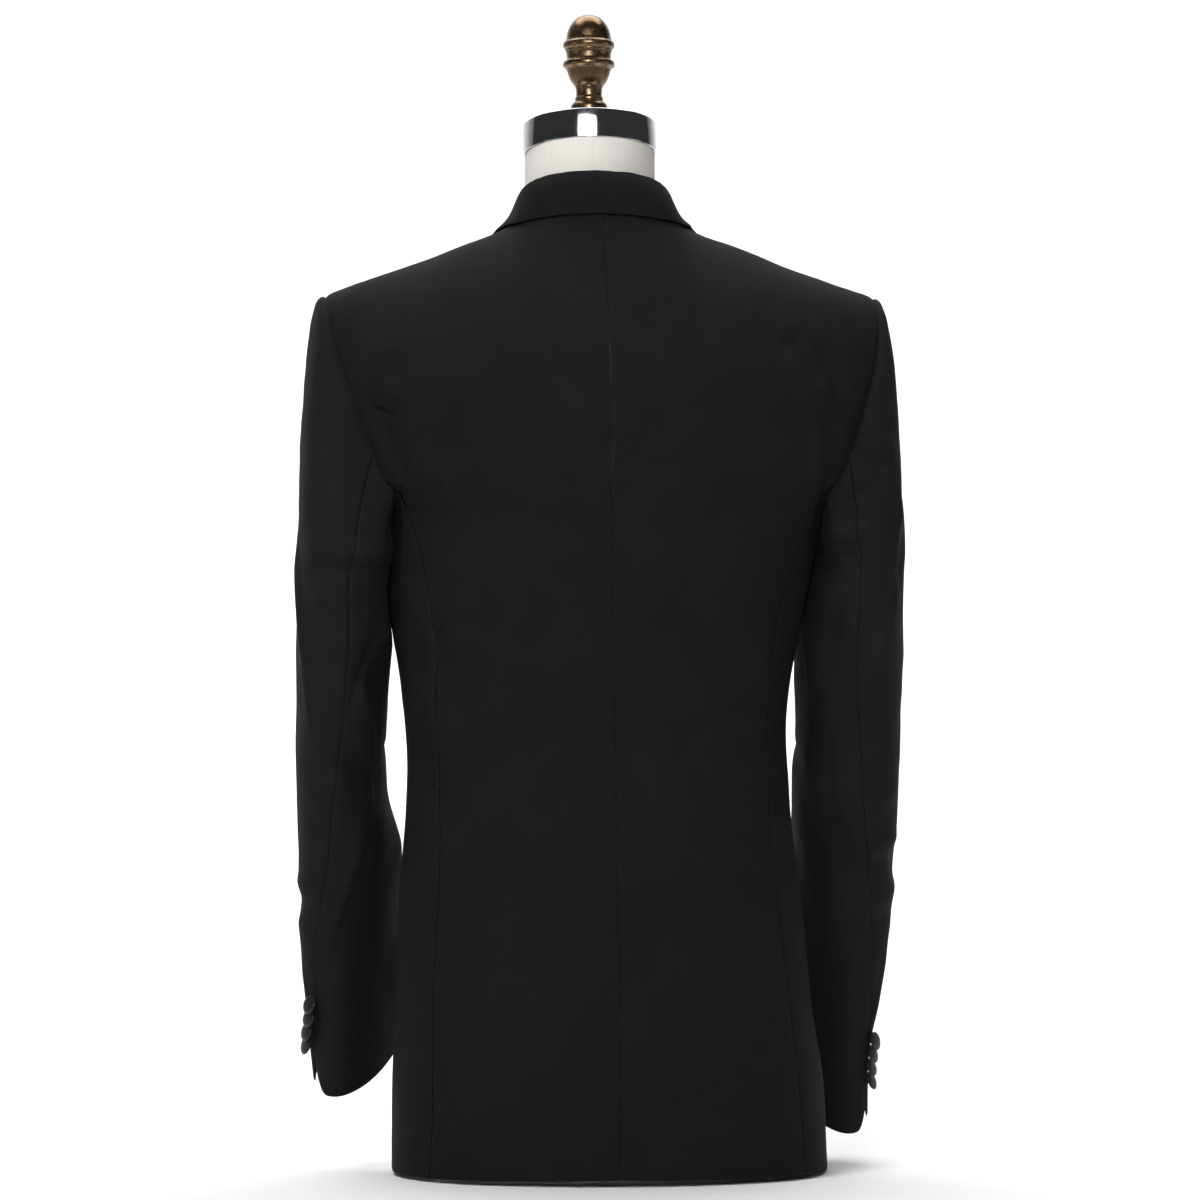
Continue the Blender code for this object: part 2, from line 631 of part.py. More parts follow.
def armhole_point(side, around):
    """Point of the armhole at a share of the way round, 0 at the shoulder tip and 0.5 under the arm."""
    around = around % 1
    behind, before = ARMHOLES[side]
    on_back = along_line(behind, np.clip(around * 2, 0, 1))
    on_front = along_line(before, np.clip(around * 2 - 1, 0, 1))
    return np.where((around < 0.5)[..., None], on_back, on_front)


def rounded_power(value, roundness):
    """A sine or cosine on a superellipse of this roundness."""
    return np.sign(value) * np.abs(value) ** (2 / roundness)


def sleeve_section(side, around, height):
    """Point of the sleeve on the section at a height; the section itself slopes with its pitch."""
    rows = SLEEVES[side]
    angle = TURN * around
    across = rows.at("across", height) * rounded_power(np.cos(angle), SLEEVE_ROUNDNESS)
    deep = rows.at("deep", height) * rounded_power(np.sin(angle), SLEEVE_ROUNDNESS)
    turned = np.radians(rows.at("turned", height))
    out = across * np.cos(turned) + deep * np.sin(turned)
    back = deep * np.cos(turned) - across * np.sin(turned)
    rise = -np.tan(np.radians(rows.at("pitch", height))) * back
    x = side * (rows.at("out", height) + out)
    return np.stack((x, back - rows.at("forward", height), height + rise), -1)


def bare_sleeve(side, around, down):
    """Point of the sleeve: down 0 to 1 from the armhole to the first section, and on to 2 at the cuff.

    It leaves the armhole outwards over the shoulder and downwards under the arm, and arrives straight down.
    """
    first, last = SLEEVES[side].places[-1], SLEEVES[side].places[0]
    over = (1 + np.cos(TURN * around)) / 2
    start = armhole_point(side, around)
    start[..., 0] += side * SEAM_GAP * (1 + 3 * (1 - over) ** 2)
    end = sleeve_section(side, around, np.full(np.shape(around), first))
    length = np.linalg.norm(end - start, axis=-1)
    outwards = 0.12 + 0.88 * over**2
    leave = np.stack((side * outwards, 0.22 * np.sin(TURN * around), -1 + 0.97 * over**2), -1)
    leave *= (length * (0.62 - 0.36 * over) / np.linalg.norm(leave, axis=-1))[..., None]
    arrive = np.zeros_like(leave)
    arrive[..., 2] = -length * 0.9
    t = np.clip(down, 0, 1)[..., None]
    head = (1 + 2 * t) * (1 - t) ** 2 * start + t * (1 - t) ** 2 * leave
    head += t * t * (3 - 2 * t) * end + t * t * (t - 1) * arrive
    height = first + (last - first) * np.clip(down - 1, 0, 1)
    return np.where((down <= 1)[..., None], head, sleeve_section(side, around, height))


def sleeve_fold_height(side, around, height):
    total = np.zeros(np.broadcast(around, height).shape)
    for on, a0, z0, a1, z1, half_width, depth in SLEEVE_FOLDS:
        if on == side:
            reach, fall = (a1 - a0) * SLEEVE_ROUND, z1 - z0
            run = math.hypot(reach, fall)
            aside = ((around % 1) - a0) * SLEEVE_ROUND
            across = (aside * fall - (height - z0) * reach) / run
            along = (aside * reach + (height - z0) * fall) / run**2
            total = total + crease(across, along, half_width, depth)
    return total


def sleeve_axis(side, around, down):
    """The middle of the sleeve beside each point, to tell the outside from the inside."""
    return (bare_sleeve(side, around, down) + bare_sleeve(side, around + 0.5, down)) / 2


def sleeve_skin(side, around, down, lift):
    """Points of the folded sleeve, moved out by lift."""
    around, down = np.broadcast_arrays(around, down)

    def bare(u, v):
        return bare_sleeve(side, u, v)
    axis = sleeve_axis(side, around, down)
    normal = outward(bare, around, np.clip(down, 0.012, 1.99), 0.01, 0.01, axis)
    point = bare(around, down)
    past_seam = np.clip(down / 0.35, 0, 1)
    fold = sleeve_fold_height(side, around, point[..., 2]) * past_seam
    return point + normal * (fold + lift)[..., None]


def sleeve_grid(side, first_seam, last_seam, shares, lift):
    """Grid of points between two seams: rows down the sleeve, columns across from seam to seam."""
    downs = np.concatenate((np.linspace(0, 1, SLEEVE_TOP_ROWS)[:-1], np.linspace(1, 2, SLEEVE_LOW_ROWS)))
    share, down = np.meshgrid(shares, downs)
    start, end = first_seam(down), last_seam(down)
    points = sleeve_skin(side, start + share * (end - start), down, lift)
    return points


def hindarm(down):
    return SLEEVE_SEAMS.at("hindarm", down)


def forearm(down):
    return SLEEVE_SEAMS.at("forearm", down)


TOP_SHARES = np.array((0, 0.07, 0.16, 0.25, 0.34, 0.43, 0.52, 0.61, 0.70, 0.79, 0.87, 0.945, 1.0))
UNDER_SHARES = np.array((0, 0.09, 0.20, 0.33, 0.46, 0.60, 0.74, 0.87, 1.0))
SLEEVE_GAP = SEAM_GAP / SLEEVE_ROUND
SLEEVE_PIECES = (
    # name, its first seam, its last seam, its columns, the one at the vent
    ("top_sleeve_", lambda down: forearm(down) - 1 + SLEEVE_GAP, lambda down: hindarm(down) - SLEEVE_GAP,
     TOP_SHARES, -1),
    ("under_sleeve_", lambda down: hindarm(down) + SLEEVE_GAP, lambda down: forearm(down) - SLEEVE_GAP,
     UNDER_SHARES, 0),
)


def add_sleeve(name, side):
    """Top sleeve over the outside of the arm, under sleeve on its inside, open at both ends."""
    for kind, first_seam, last_seam, shares, vent_column in SLEEVE_PIECES:
        outer = sleeve_grid(side, first_seam, last_seam, shares, 0)
        inner = sleeve_grid(side, first_seam, last_seam, shares, -CLOTH)
        for skin in (outer, inner):
            skin[-1, vent_column, 2] += CUFF_NOTCH
        add_wall(kind + name, outer, inner, WOOL)


for name, side in SIDES:
    add_sleeve(name, side)


# ---------------------------------------------------------------- cuff buttons
BUTTON_RADIUS = 0.0075
BUTTON_PITCH = 0.0102
BUTTON_TILT = math.radians(24)
BUTTON_SEAT = 0.0006     # a shank's end over the sleeve
BUTTONS_PER_CUFF = 4
FIRST_BUTTON = 0.030     # the lowest button above the cuff's edge
# A covered button: shank, flat back, rounded edge and a low dome.
BUTTON_PROFILE = (
    # share of the radius, height
    (0.00, 0.0000),
    (0.20, 0.0006),
    (0.20, 0.0032),
    (0.88, 0.0034),
    (1.00, 0.0044),
    (0.86, 0.0055),
    (0.48, 0.0061),
    (0.00, 0.0063),
)


def frame_at(point, normal, up):
    """A placement with its Z along normal and its Y as near as can be to up."""
    z = Vector(normal).normalized()
    x = Vector(up).cross(z).normalized()
    y = z.cross(x)
    turn = Matrix((x, y, z)).transposed().to_4x4()
    return Matrix.Translation(Vector(point)) @ turn


def add_cuff_buttons(name, side):
    """Four covered buttons above the vent, each leaning on the next one down."""
    length = SLEEVES[side].places[-1] - SLEEVES[side].places[0]
    for k in range(BUTTONS_PER_CUFF):
        down = np.array([2 - (FIRST_BUTTON + k * BUTTON_PITCH) / length])
        around = hindarm(down) - 0.012
        seat = sleeve_skin(side, around, down, BUTTON_SEAT)[0]
        above = sleeve_skin(side, around, down - 0.02, BUTTON_SEAT)[0]
        out = sleeve_skin(side, around, down, BUTTON_SEAT + 0.01)[0] - seat
        place = frame_at(seat, out, above - seat) @ Matrix.Rotation(-BUTTON_TILT, 4, "X")
        profile = [(BUTTON_RADIUS * share, height) for share, height in BUTTON_PROFILE]
        add_turned(f"cuff_button_{name}_{k + 1}", profile, 12, SILK, place)


for name, side in SIDES:
    add_cuff_buttons(name, side)


# ---------------------------------------------------------------- collar
COLLAR_WALL = 0.0018
COLLAR_STAND_OFF = 0.0018
COLLAR_STATIONS = 33
# Half the collar, from the centre back (0) to the gorge (1): its folded top edge, the fall's lower edge on
# the back (up to the shoulder line) and the front, and how far the fall is rounded out between them.
COLLAR = Table(
    ("along", "fold_x", "fold_y", "fold_z", "edge_x", "edge_z", "bulge"),
    (0.00, 0.0000, 0.0640, 0.7770, 0.0000, 0.7435, 0.0030),
    (0.20, 0.0215, 0.0605, 0.7760, 0.0240, 0.7425, 0.0030),
    (0.40, 0.0410, 0.0470, 0.7725, 0.0450, 0.7400, 0.0022),
    (0.55, 0.0520, 0.0280, 0.7665, 0.0605, 0.7378, 0.0006),
    (0.66, 0.0558, 0.0060, 0.7580, 0.0735, 0.7350, -0.0014),
    (0.78, 0.0600, -0.0180, 0.7430, 0.0880, 0.7190, -0.0004),
    (0.90, 0.0625, -0.0420, 0.7180, 0.0980, 0.6900, 0.0014),
    (1.00, 0.0615, -0.0665, 0.6890, 0.1050, 0.6610, 0.0024),
)
SHOULDER_STATION = 0.66
GORGE_HEIGHT = 0.6880    # where the stand's base meets the roll line
NECK_MIDDLE_Y = 0.004
STAND_INSET = 0.0044     # from the neckline in to the middle of the stand's wall
STAND_DROP = 0.0015      # its bottom edge lies this far below the neckline
FOLD_WIDTH = 0.0046      # from the stand's wall to the fall's at the fold
FOLD_DROP = 0.0022       # both walls start this far below the folded edge
# The collar sits a little to the wearer's left: its fold this much, its lower edge that much.
FOLD_ASIDE, EDGE_ASIDE = 0.0045, 0.0018


def collar_base(side, along):
    """Bottom edge of the stand, just inside the neckline."""
    behind = np.clip(along / SHOULDER_STATION, 0, 1)
    share = np.sin(behind * math.pi / 2) * NECK_POINT / SHOULDER_TIP
    on_back = bare_panel(side, share, np.full(np.shape(along), 2.0), "back")
    before = np.clip((along - SHOULDER_STATION) / (1 - SHOULDER_STATION), 0, 1)
    height = NECK_HEIGHT + (GORGE_HEIGHT - NECK_HEIGHT) * before
    inner = panel_edges(side, height, "front")[0]
    share, rise = place_on_panel(side, inner, height, "front")
    on_front = bare_panel(side, share, rise, "front")
    base = np.where((along <= SHOULDER_STATION)[..., None], on_back, on_front)
    towards_neck = np.stack((-base[..., 0], NECK_MIDDLE_Y - base[..., 1], np.zeros(np.shape(along))), -1)
    towards_neck /= np.linalg.norm(towards_neck, axis=-1, keepdims=True)
    return base + towards_neck * STAND_INSET + np.array((0, 0, -STAND_DROP))


def aside(along, size):
    """The collar's shift to the wearer's left, which dies out towards the gorge."""
    return size * np.clip(1 - (along / 0.9) ** 2, 0, 1)


def collar_edge(side, along):
    """Lower edge of the fall, lying on the back, over the shoulder line and on the front."""
    x, height = side * COLLAR.at("edge_x", along), COLLAR.at("edge_z", along)
    x = x + BODY.at("centre", height) * np.clip(along / SHOULDER_STATION, 0, 1)
    x = x + aside(along, EDGE_ASIDE)
    lift = COLLAR_STAND_OFF + COLLAR_WALL / 2
    points = []
    for face in ("back", "front"):
        share, rise = place_on_panel(side, x, height, face)
        points.append(lifted_panel(side, share, rise, face, lift))
    return np.where((along <= SHOULDER_STATION)[..., None], *points)


def collar_line(side, along):
    """Middle of the collar's wall at each station: up the stand, over the fold and down the fall."""
    base, edge = collar_base(side, along), collar_edge(side, along)
    fold = np.stack([COLLAR.at("fold_" + axis, along) for axis in "xyz"], -1)
    fold[..., 0] = side * fold[..., 0] + BODY.at("centre", fold[..., 2]) + aside(along, FOLD_ASIDE)
    out = fold - np.array((0, NECK_MIDDLE_Y, 0))
    out[..., 2] = 0
    out /= np.linalg.norm(out, axis=-1, keepdims=True)
    down = np.array((0, 0, -1.0))
    inside = fold + down * FOLD_DROP
    outside = fold + out * FOLD_WIDTH + down * FOLD_DROP
    bulge = (out - down * 0.7) * COLLAR.at("bulge", along)[..., None]
    points = (
        base,
        base + (inside - base) * 0.5,
        inside,
        fold + out * FOLD_WIDTH / 2,
        outside,
        outside + (edge - outside) * 0.35 + bulge * 0.9,
        outside + (edge - outside) * 0.70 + bulge * 0.8,
        edge,
    )
    return np.stack(points, 1)


def add_collar():
    """Stand and fall in one folded piece, from gorge to gorge round the back of the neck."""
    along = np.linspace(0, 1, COLLAR_STATIONS // 2 + 1)
    right = collar_line(RIGHT, along)
    left = collar_line(LEFT, along)
    middle = np.concatenate((right[:0:-1], left))
    normal = grid_normals(middle)
    add_wall("collar", middle + normal * COLLAR_WALL / 2, middle - normal * COLLAR_WALL / 2, WOOL)


add_collar()


# ---------------------------------------------------------------- front button and pocket mouths
FRONT_BUTTON_RADIUS = 0.0110
FRONT_BUTTON_INSET = 0.018   # from the left front's edge


def add_front_button():
    """The covered button that holds the left front over the right one."""
    height = np.array([BUTTON_POINT])
    x = panel_edges(LEFT, height, "front")[0] + FRONT_BUTTON_INSET
    share, rise = place_on_panel(LEFT, x, height, "front")
    seat = front_skin(LEFT, share, rise, BUTTON_SEAT)[0]
    out = front_skin(LEFT, share, rise, BUTTON_SEAT + 0.01)[0] - seat
    profile = [(FRONT_BUTTON_RADIUS * share, height) for share, height in BUTTON_PROFILE]
    add_turned("front_button", profile, 16, SILK, frame_at(seat, out, (0, 0, 1)))


add_front_button()

POCKET_WALL = 0.0012
POCKET_STAND_OFF = 0.0009
POCKETS = (
    # name, side, inner x, height there, outer x, height there, depth of the mouth, finish
    ("breast_welt", LEFT, 0.058, 0.474, 0.136, 0.486, 0.022, WOOL),
    ("pocket_jet_left", LEFT, 0.060, 0.232, 0.112, 0.226, 0.011, SILK),
    ("pocket_jet_right", RIGHT, 0.060, 0.232, 0.112, 0.226, 0.011, SILK),
)


def add_pocket(name, side, x0, z0, x1, z1, tall, finish):
    """A strip of cloth that lies on the front over a pocket's mouth."""
    across, up = np.meshgrid(np.linspace(0, 1, 8), np.linspace(-0.5, 0.5, 3))
    height = z0 + (z1 - z0) * across + up * tall
    x = BODY.at("centre", height) + side * (x0 + (x1 - x0) * across)
    share, rise = place_on_panel(side, x, height, "front")
    under = front_skin(side, share, rise, POCKET_STAND_OFF)
    outer = front_skin(side, share, rise, POCKET_STAND_OFF + POCKET_WALL)
    add_wall(name, outer, under, finish)


for pocket in POCKETS:
    add_pocket(*pocket)


# ---------------------------------------------------------------- dress form
FORM_SIDES = 32
CAP_TILT = math.radians(12.2)
NECK_X, NECK_Y = 0.0056, 0.004
NECK_TOP, SLOPE_START = 0.7935, 0.765    # the neck ends on a slope that rises to the back
NECK_START, NECK_BLEND = 0.68, 0.06      # above this height the form follows its neck, from here on
JACKET_START, JACKET_BLEND = 0.30, 0.20  # and above this one the jacket that it fills
FORM = Table(
    ("height", "half_width", "back", "front", "squareness"),
    (0.000, 0.1490, 0.106, 0.102, 2.2),
    (0.060, 0.1490, 0.108, 0.104, 2.2),
    (0.135, 0.1455, 0.108, 0.104, 2.2),
    (0.213, 0.1410, 0.100, 0.102, 2.2),
    (0.283, 0.1370, 0.091, 0.100, 2.2),
    (0.330, 0.1360, 0.088, 0.100, 2.2),
    (0.377, 0.1390, 0.092, 0.102, 2.2),
    (0.447, 0.1490, 0.105, 0.107, 2.2),
    (0.510, 0.1570, 0.115, 0.109, 2.2),
    (0.560, 0.1650, 0.118, 0.106, 2.2),
    (0.600, 0.1720, 0.115, 0.096, 2.2),
    (0.635, 0.1790, 0.107, 0.084, 2.1),
    (0.660, 0.1810, 0.098, 0.071, 2.0),
    (0.678, 0.1780, 0.088, 0.060, 2.0),
    (0.6905, 0.1700, 0.081, 0.053, 2.0),
    (0.6983, 0.1580, 0.076, 0.048, 2.0),
    (0.7075, 0.1240, 0.070, 0.043, 2.0),
    (0.7160, 0.0930, 0.066, 0.041, 2.0),
    (0.724, 0.0715, 0.061, 0.041, 2.0),
    (0.733, 0.0585, 0.056, 0.041, 2.0),
    (0.745, 0.0525, 0.053, 0.043, 2.0),
    (0.765, 0.0508, 0.052, 0.047, 2.0),
    (NECK_TOP, 0.0505, 0.051, 0.051, 2.0),
)


def add_form_torso():
    """The padded, linen-covered body of the form: flat underneath, with neither arms nor legs."""
    made = bmesh.new()
    rings = []
    for height in FORM.places:
        squareness = FORM.at("squareness", height)
        slope = math.tan(CAP_TILT) * np.clip((height - SLOPE_START) / (NECK_TOP - SLOPE_START), 0, 1)
        at_neck = np.clip((height - NECK_START) / NECK_BLEND, 0, 1)
        in_jacket = np.clip((height - JACKET_START) / JACKET_BLEND, 0, 1) * (1 - at_neck)
        middle = BODY.at("centre", height) * in_jacket + NECK_X * at_neck
        ring = []
        for k in range(FORM_SIDES):
            angle = TURN * k / FORM_SIDES
            depth = FORM.at("back" if math.sin(angle) > 0 else "front", height)
            x = FORM.at("half_width", height) * rounded_power(math.cos(angle), squareness)
            y = depth * rounded_power(math.sin(angle), squareness)
            ring.append(made.verts.new((x + middle, y + NECK_Y * at_neck, height + slope * y)))
        rings.append(ring)
    for low, high in zip(rings, rings[1:]):
        for k in range(FORM_SIDES):
            following = (k + 1) % FORM_SIDES
            made.faces.new((low[k], low[following], high[following], high[k]))
    made.faces.new(rings[0][::-1])
    made.faces.new(rings[-1])
    add_object("form_torso", made, LINEN)


add_form_torso()

CAP_RADIUS = 0.0522
CAP_HEIGHT = 0.0234
CAP_SEAT = Vector((NECK_X, NECK_Y, NECK_TOP + SEAM_GAP))
CAP_PLACE = Matrix.Translation(CAP_SEAT) @ Matrix.Rotation(CAP_TILT, 4, "X")
CAP_PROFILE = (
    # radius, height
    (0.0000, 0.0000),
    (CAP_RADIUS - 0.0006, 0.0000),
    (CAP_RADIUS, 0.0006),
    (CAP_RADIUS, CAP_HEIGHT - 0.0012),
    (CAP_RADIUS - 0.0012, CAP_HEIGHT),
    (0.0000, CAP_HEIGHT),
)
add_turned("form_neck_cap", CAP_PROFILE, 40, CHROME, CAP_PLACE)

FINIAL_TILT = math.radians(5)
# Turned profile of the finial above its seat on the cap: foot, stem, cup, two beads and the domed top.
FINIAL_PROFILE = (
    # radius, height
    (0.0000, 0.0000),
    (0.0146, 0.0000),
    (0.0146, 0.0125),
    (0.0142, 0.0160),
    (0.0122, 0.0186),
    (0.0104, 0.0205),
    (0.0103, 0.0250),
    (0.0107, 0.0308),
    (0.0127, 0.0336),
    (0.0146, 0.0366),
    (0.0162, 0.0402),
    (0.0174, 0.0435),
    (0.0190, 0.0458),
    (0.0204, 0.0480),
    (0.0199, 0.0505),
    (0.0180, 0.0532),
    (0.0173, 0.0560),
    (0.0181, 0.0587),
    (0.0201, 0.0618),
    (0.0201, 0.0648),
    (0.0184, 0.0680),
    (0.0175, 0.0705),
    (0.0166, 0.0742),
    (0.0153, 0.0776),
    (0.0127, 0.0815),
    (0.0094, 0.0848),
    (0.0048, 0.0869),
    (0.0000, 0.0876),
)


def add_finial():
    """A turned finial, nearly upright on the sloping cap: only its foot is cut to the cap's slope."""
    top = CAP_PLACE @ Vector((0, 0, CAP_HEIGHT + SEAM_GAP))
    place = Matrix.Translation(top) @ Matrix.Rotation(FINIAL_TILT, 4, "X")
    made = add_turned("form_finial", FINIAL_PROFILE, 20, BRONZE)
    slope = math.tan(CAP_TILT - FINIAL_TILT)
    foot_height = FINIAL_PROFILE[2][1]
    for vertex in made.data.vertices:
        vertex.co.z += slope * vertex.co.y * max(0, 1 - vertex.co.z / foot_height)
    made.data.transform(place)


add_finial()
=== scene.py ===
"""The looks of a dinner jacket on a limbless dress form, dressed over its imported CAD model.

Metres, +Z up. The jacket faces -Y and its wearer's left is +X. Each cloth piece is a fine closed shell on the
form of its CAD solid, which it stands for.
"""

import math

import bpy
import numpy as np
from mathutils import Matrix, Vector


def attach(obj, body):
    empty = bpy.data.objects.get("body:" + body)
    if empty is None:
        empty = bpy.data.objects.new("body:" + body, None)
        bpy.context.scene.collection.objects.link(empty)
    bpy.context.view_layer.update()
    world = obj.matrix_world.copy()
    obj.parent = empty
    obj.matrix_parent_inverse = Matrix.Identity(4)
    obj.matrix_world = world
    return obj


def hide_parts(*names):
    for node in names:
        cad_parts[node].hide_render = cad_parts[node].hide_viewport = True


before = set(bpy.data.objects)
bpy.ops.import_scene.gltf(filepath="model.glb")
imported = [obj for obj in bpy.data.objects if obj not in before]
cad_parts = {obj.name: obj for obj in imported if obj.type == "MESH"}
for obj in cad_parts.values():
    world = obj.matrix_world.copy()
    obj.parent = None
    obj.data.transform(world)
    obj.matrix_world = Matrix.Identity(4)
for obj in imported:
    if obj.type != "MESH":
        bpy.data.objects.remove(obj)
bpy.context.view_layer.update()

# ================================================================ back
# The back is two halves of black worsted, sewn down the middle and shaped to the shoulder blades with the
# iron. It hangs from the shoulder seams without a vent, and it keeps the pulls that armholes and waist
# leave in the cloth.
CLOTH = 0.002            # wall: cloth, canvas and lining together
SEAM_GAP = 0.0003        # two sewn pieces stay this far apart
EDGE_ROLL = 0.0007       # a pressed edge turns in by this much
EDGE_SOFTNESS = 0.0016   # over about this distance
EDGE_STEPS = np.array((0, 0.0004, 0.0009, 0.0016, 0.0026, 0.0040))  # where the rows nearest to an edge lie
UNDER_ROLL = 0.7         # share of the roll that the under side follows
SHARP_ANGLE = math.radians(55)
NORMAL_STEP = 0.01       # a normal is measured this far to each side, as a share
ACROSS_STEP, UP_STEP = 0.0032, 0.0030  # between the columns and the rows of a panel
CHEST = 0.56             # height where the round of the body starts to turn in to the shoulders
ARMHOLE_CORNER = 0.530   # where the seams of the side bodies run into the armhole
FOLD_END = 0.012         # folds start to die out this far from the armhole
ARMHOLE_FADE = 0.02      # and do so fully from this far above its corner
SHOULDER_TIP = 0.214     # from the centre line to the top of the armhole seam
NECK_POINT = 0.070       # from the centre line to where collar and shoulder seam meet
NECK_HEIGHT = 0.7375
NECKLINE_RISE = 0.0125   # the middle of the back neckline above the neck points
BACK_HEM = 0.0055        # height of the hem
FRONT_HEM = 0.003
LEFT, RIGHT = 1, -1
SIDES = (("left", LEFT), ("right", RIGHT))
TURN = 2 * math.pi
BODY_AXIS = np.array((0.0, 0.0, 0.30))


class Table:
    """Rows with named columns: a place first, then values that are read smoothly at any place."""

    def __init__(self, columns, *rows):
        self.columns = columns
        self.rows = np.array(sorted(rows), float)
        self.places = self.rows[:, 0]

    def at(self, name, place):
        """Monotone cubic through the column, so nothing swings past a row."""
        value = self.rows[:, self.columns.index(name)]
        step = np.diff(self.places)
        rise = np.diff(value) / step
        slope = np.zeros_like(value)
        slope[0], slope[-1] = rise[0], rise[-1]
        near = 2 * step[1:] + step[:-1]
        far = step[1:] + 2 * step[:-1]
        for i in np.flatnonzero(rise[:-1] * rise[1:] > 0):
            slope[i + 1] = (near[i] + far[i]) / (near[i] / rise[i] + far[i] / rise[i + 1])
        place = np.clip(np.asarray(place, float), self.places[0], self.places[-1])
        i = np.clip(np.searchsorted(self.places, place) - 1, 0, len(step) - 1)
        t = (place - self.places[i]) / step[i]
        stay = (1 + 2 * t) * (1 - t) ** 2
        leave = t * (1 - t) ** 2 * step[i]
        arrive = t * t * (t - 1) * step[i]
        return stay * value[i] + leave * slope[i] + (1 - stay) * value[i + 1] + arrive * slope[i + 1]


BODY = Table(
    ("height", "half_width", "back", "front", "centre", "squareness"),
    (0.000, 0.1700, 0.129, 0.124, -0.0105, 2.15),
    (0.060, 0.1685, 0.130, 0.125, -0.0090, 2.15),
    (0.135, 0.1620, 0.128, 0.124, -0.0055, 2.15),
    (0.213, 0.1570, 0.119, 0.122, -0.0030, 2.2),
    (0.283, 0.1500, 0.107, 0.119, -0.0010, 2.25),
    (0.330, 0.1480, 0.104, 0.119, 0.0000, 2.3),
    (0.377, 0.1512, 0.108, 0.121, 0.0010, 2.3),
    (0.447, 0.1628, 0.120, 0.125, 0.0000, 2.3),
    (0.510, 0.1710, 0.129, 0.126, -0.0060, 2.3),
    (0.530, 0.1850, 0.131, 0.124, -0.0060, 2.3),
    (0.5445, 0.1970, 0.132, 0.122, -0.0060, 2.3),
    (0.575, 0.2080, 0.132, 0.118, -0.0060, 2.3),
    (0.628, 0.2250, 0.127, 0.109, -0.0045, 2.3),
    (0.680, 0.2350, 0.116, 0.099, -0.0025, 2.3),
    (0.760, 0.2400, 0.098, 0.085, 0.0010, 2.3),
)
# Half distances from the body's centre line to the edges of the panels, up the side seams and round the
# armhole.
EDGES = Table(
    ("height", "back_edge", "front_edge"),
    (0.000, 0.1460, 0.1330),
    (0.135, 0.1380, 0.1280),
    (0.283, 0.1280, 0.1210),
    (0.377, 0.1290, 0.1230),
    (0.447, 0.1380, 0.1330),
    (0.500, 0.1530, 0.1500),
    (0.530, 0.1680, 0.1640),
    (0.5445, 0.1780, 0.1690),
    (0.575, 0.1900, 0.1760),
    (0.600, 0.1980, 0.1820),
    (0.628, 0.2075, 0.1920),
    (0.657, 0.2130, 0.2050),
    (0.6828, SHOULDER_TIP, SHOULDER_TIP),
)
# The shoulder line from neck point to tip, and the rise of the neck that the back follows up to its
# neckline.
SHOULDER = Table(
    ("from_centre", "height", "depth"),
    (0.0000, 0.8000, 0.006),
    (0.0200, 0.7950, 0.006),
    (0.0450, 0.7700, 0.006),
    (0.0700, 0.7375, 0.006),
    (0.0775, 0.7333, 0.005),
    (0.1080, 0.7216, 0.003),
    (0.1410, 0.7090, 0.001),
    (0.1770, 0.6966, 0.000),
    (0.2060, 0.6868, 0.000),
    (0.2140, 0.6828, 0.000),
)
CENTRE_SEAM = Table(
    ("height", "x"),
    (0.00, -0.0085),
    (0.22, -0.0070),
    (0.33, -0.0060),
    (0.50, -0.0020),
    (0.62, 0.0000),
    (0.76, 0.0010),
)
# The front edge from the rounded hem corner up to the button and along the roll line.
FRONT_EDGE = Table(
    ("height", "from_centre"),
    (0.000, 0.0660),
    (0.008, 0.0530),
    (0.024, 0.0400),
    (0.060, 0.0260),
    (0.130, 0.0100),
    (0.200, -0.0010),
    (0.280, -0.0120),
    (0.365, -0.0170),
    (0.410, -0.0080),
    (0.500, 0.0170),
    (0.600, 0.0430),
    (0.690, 0.0620),
    (0.7375, NECK_POINT),
)
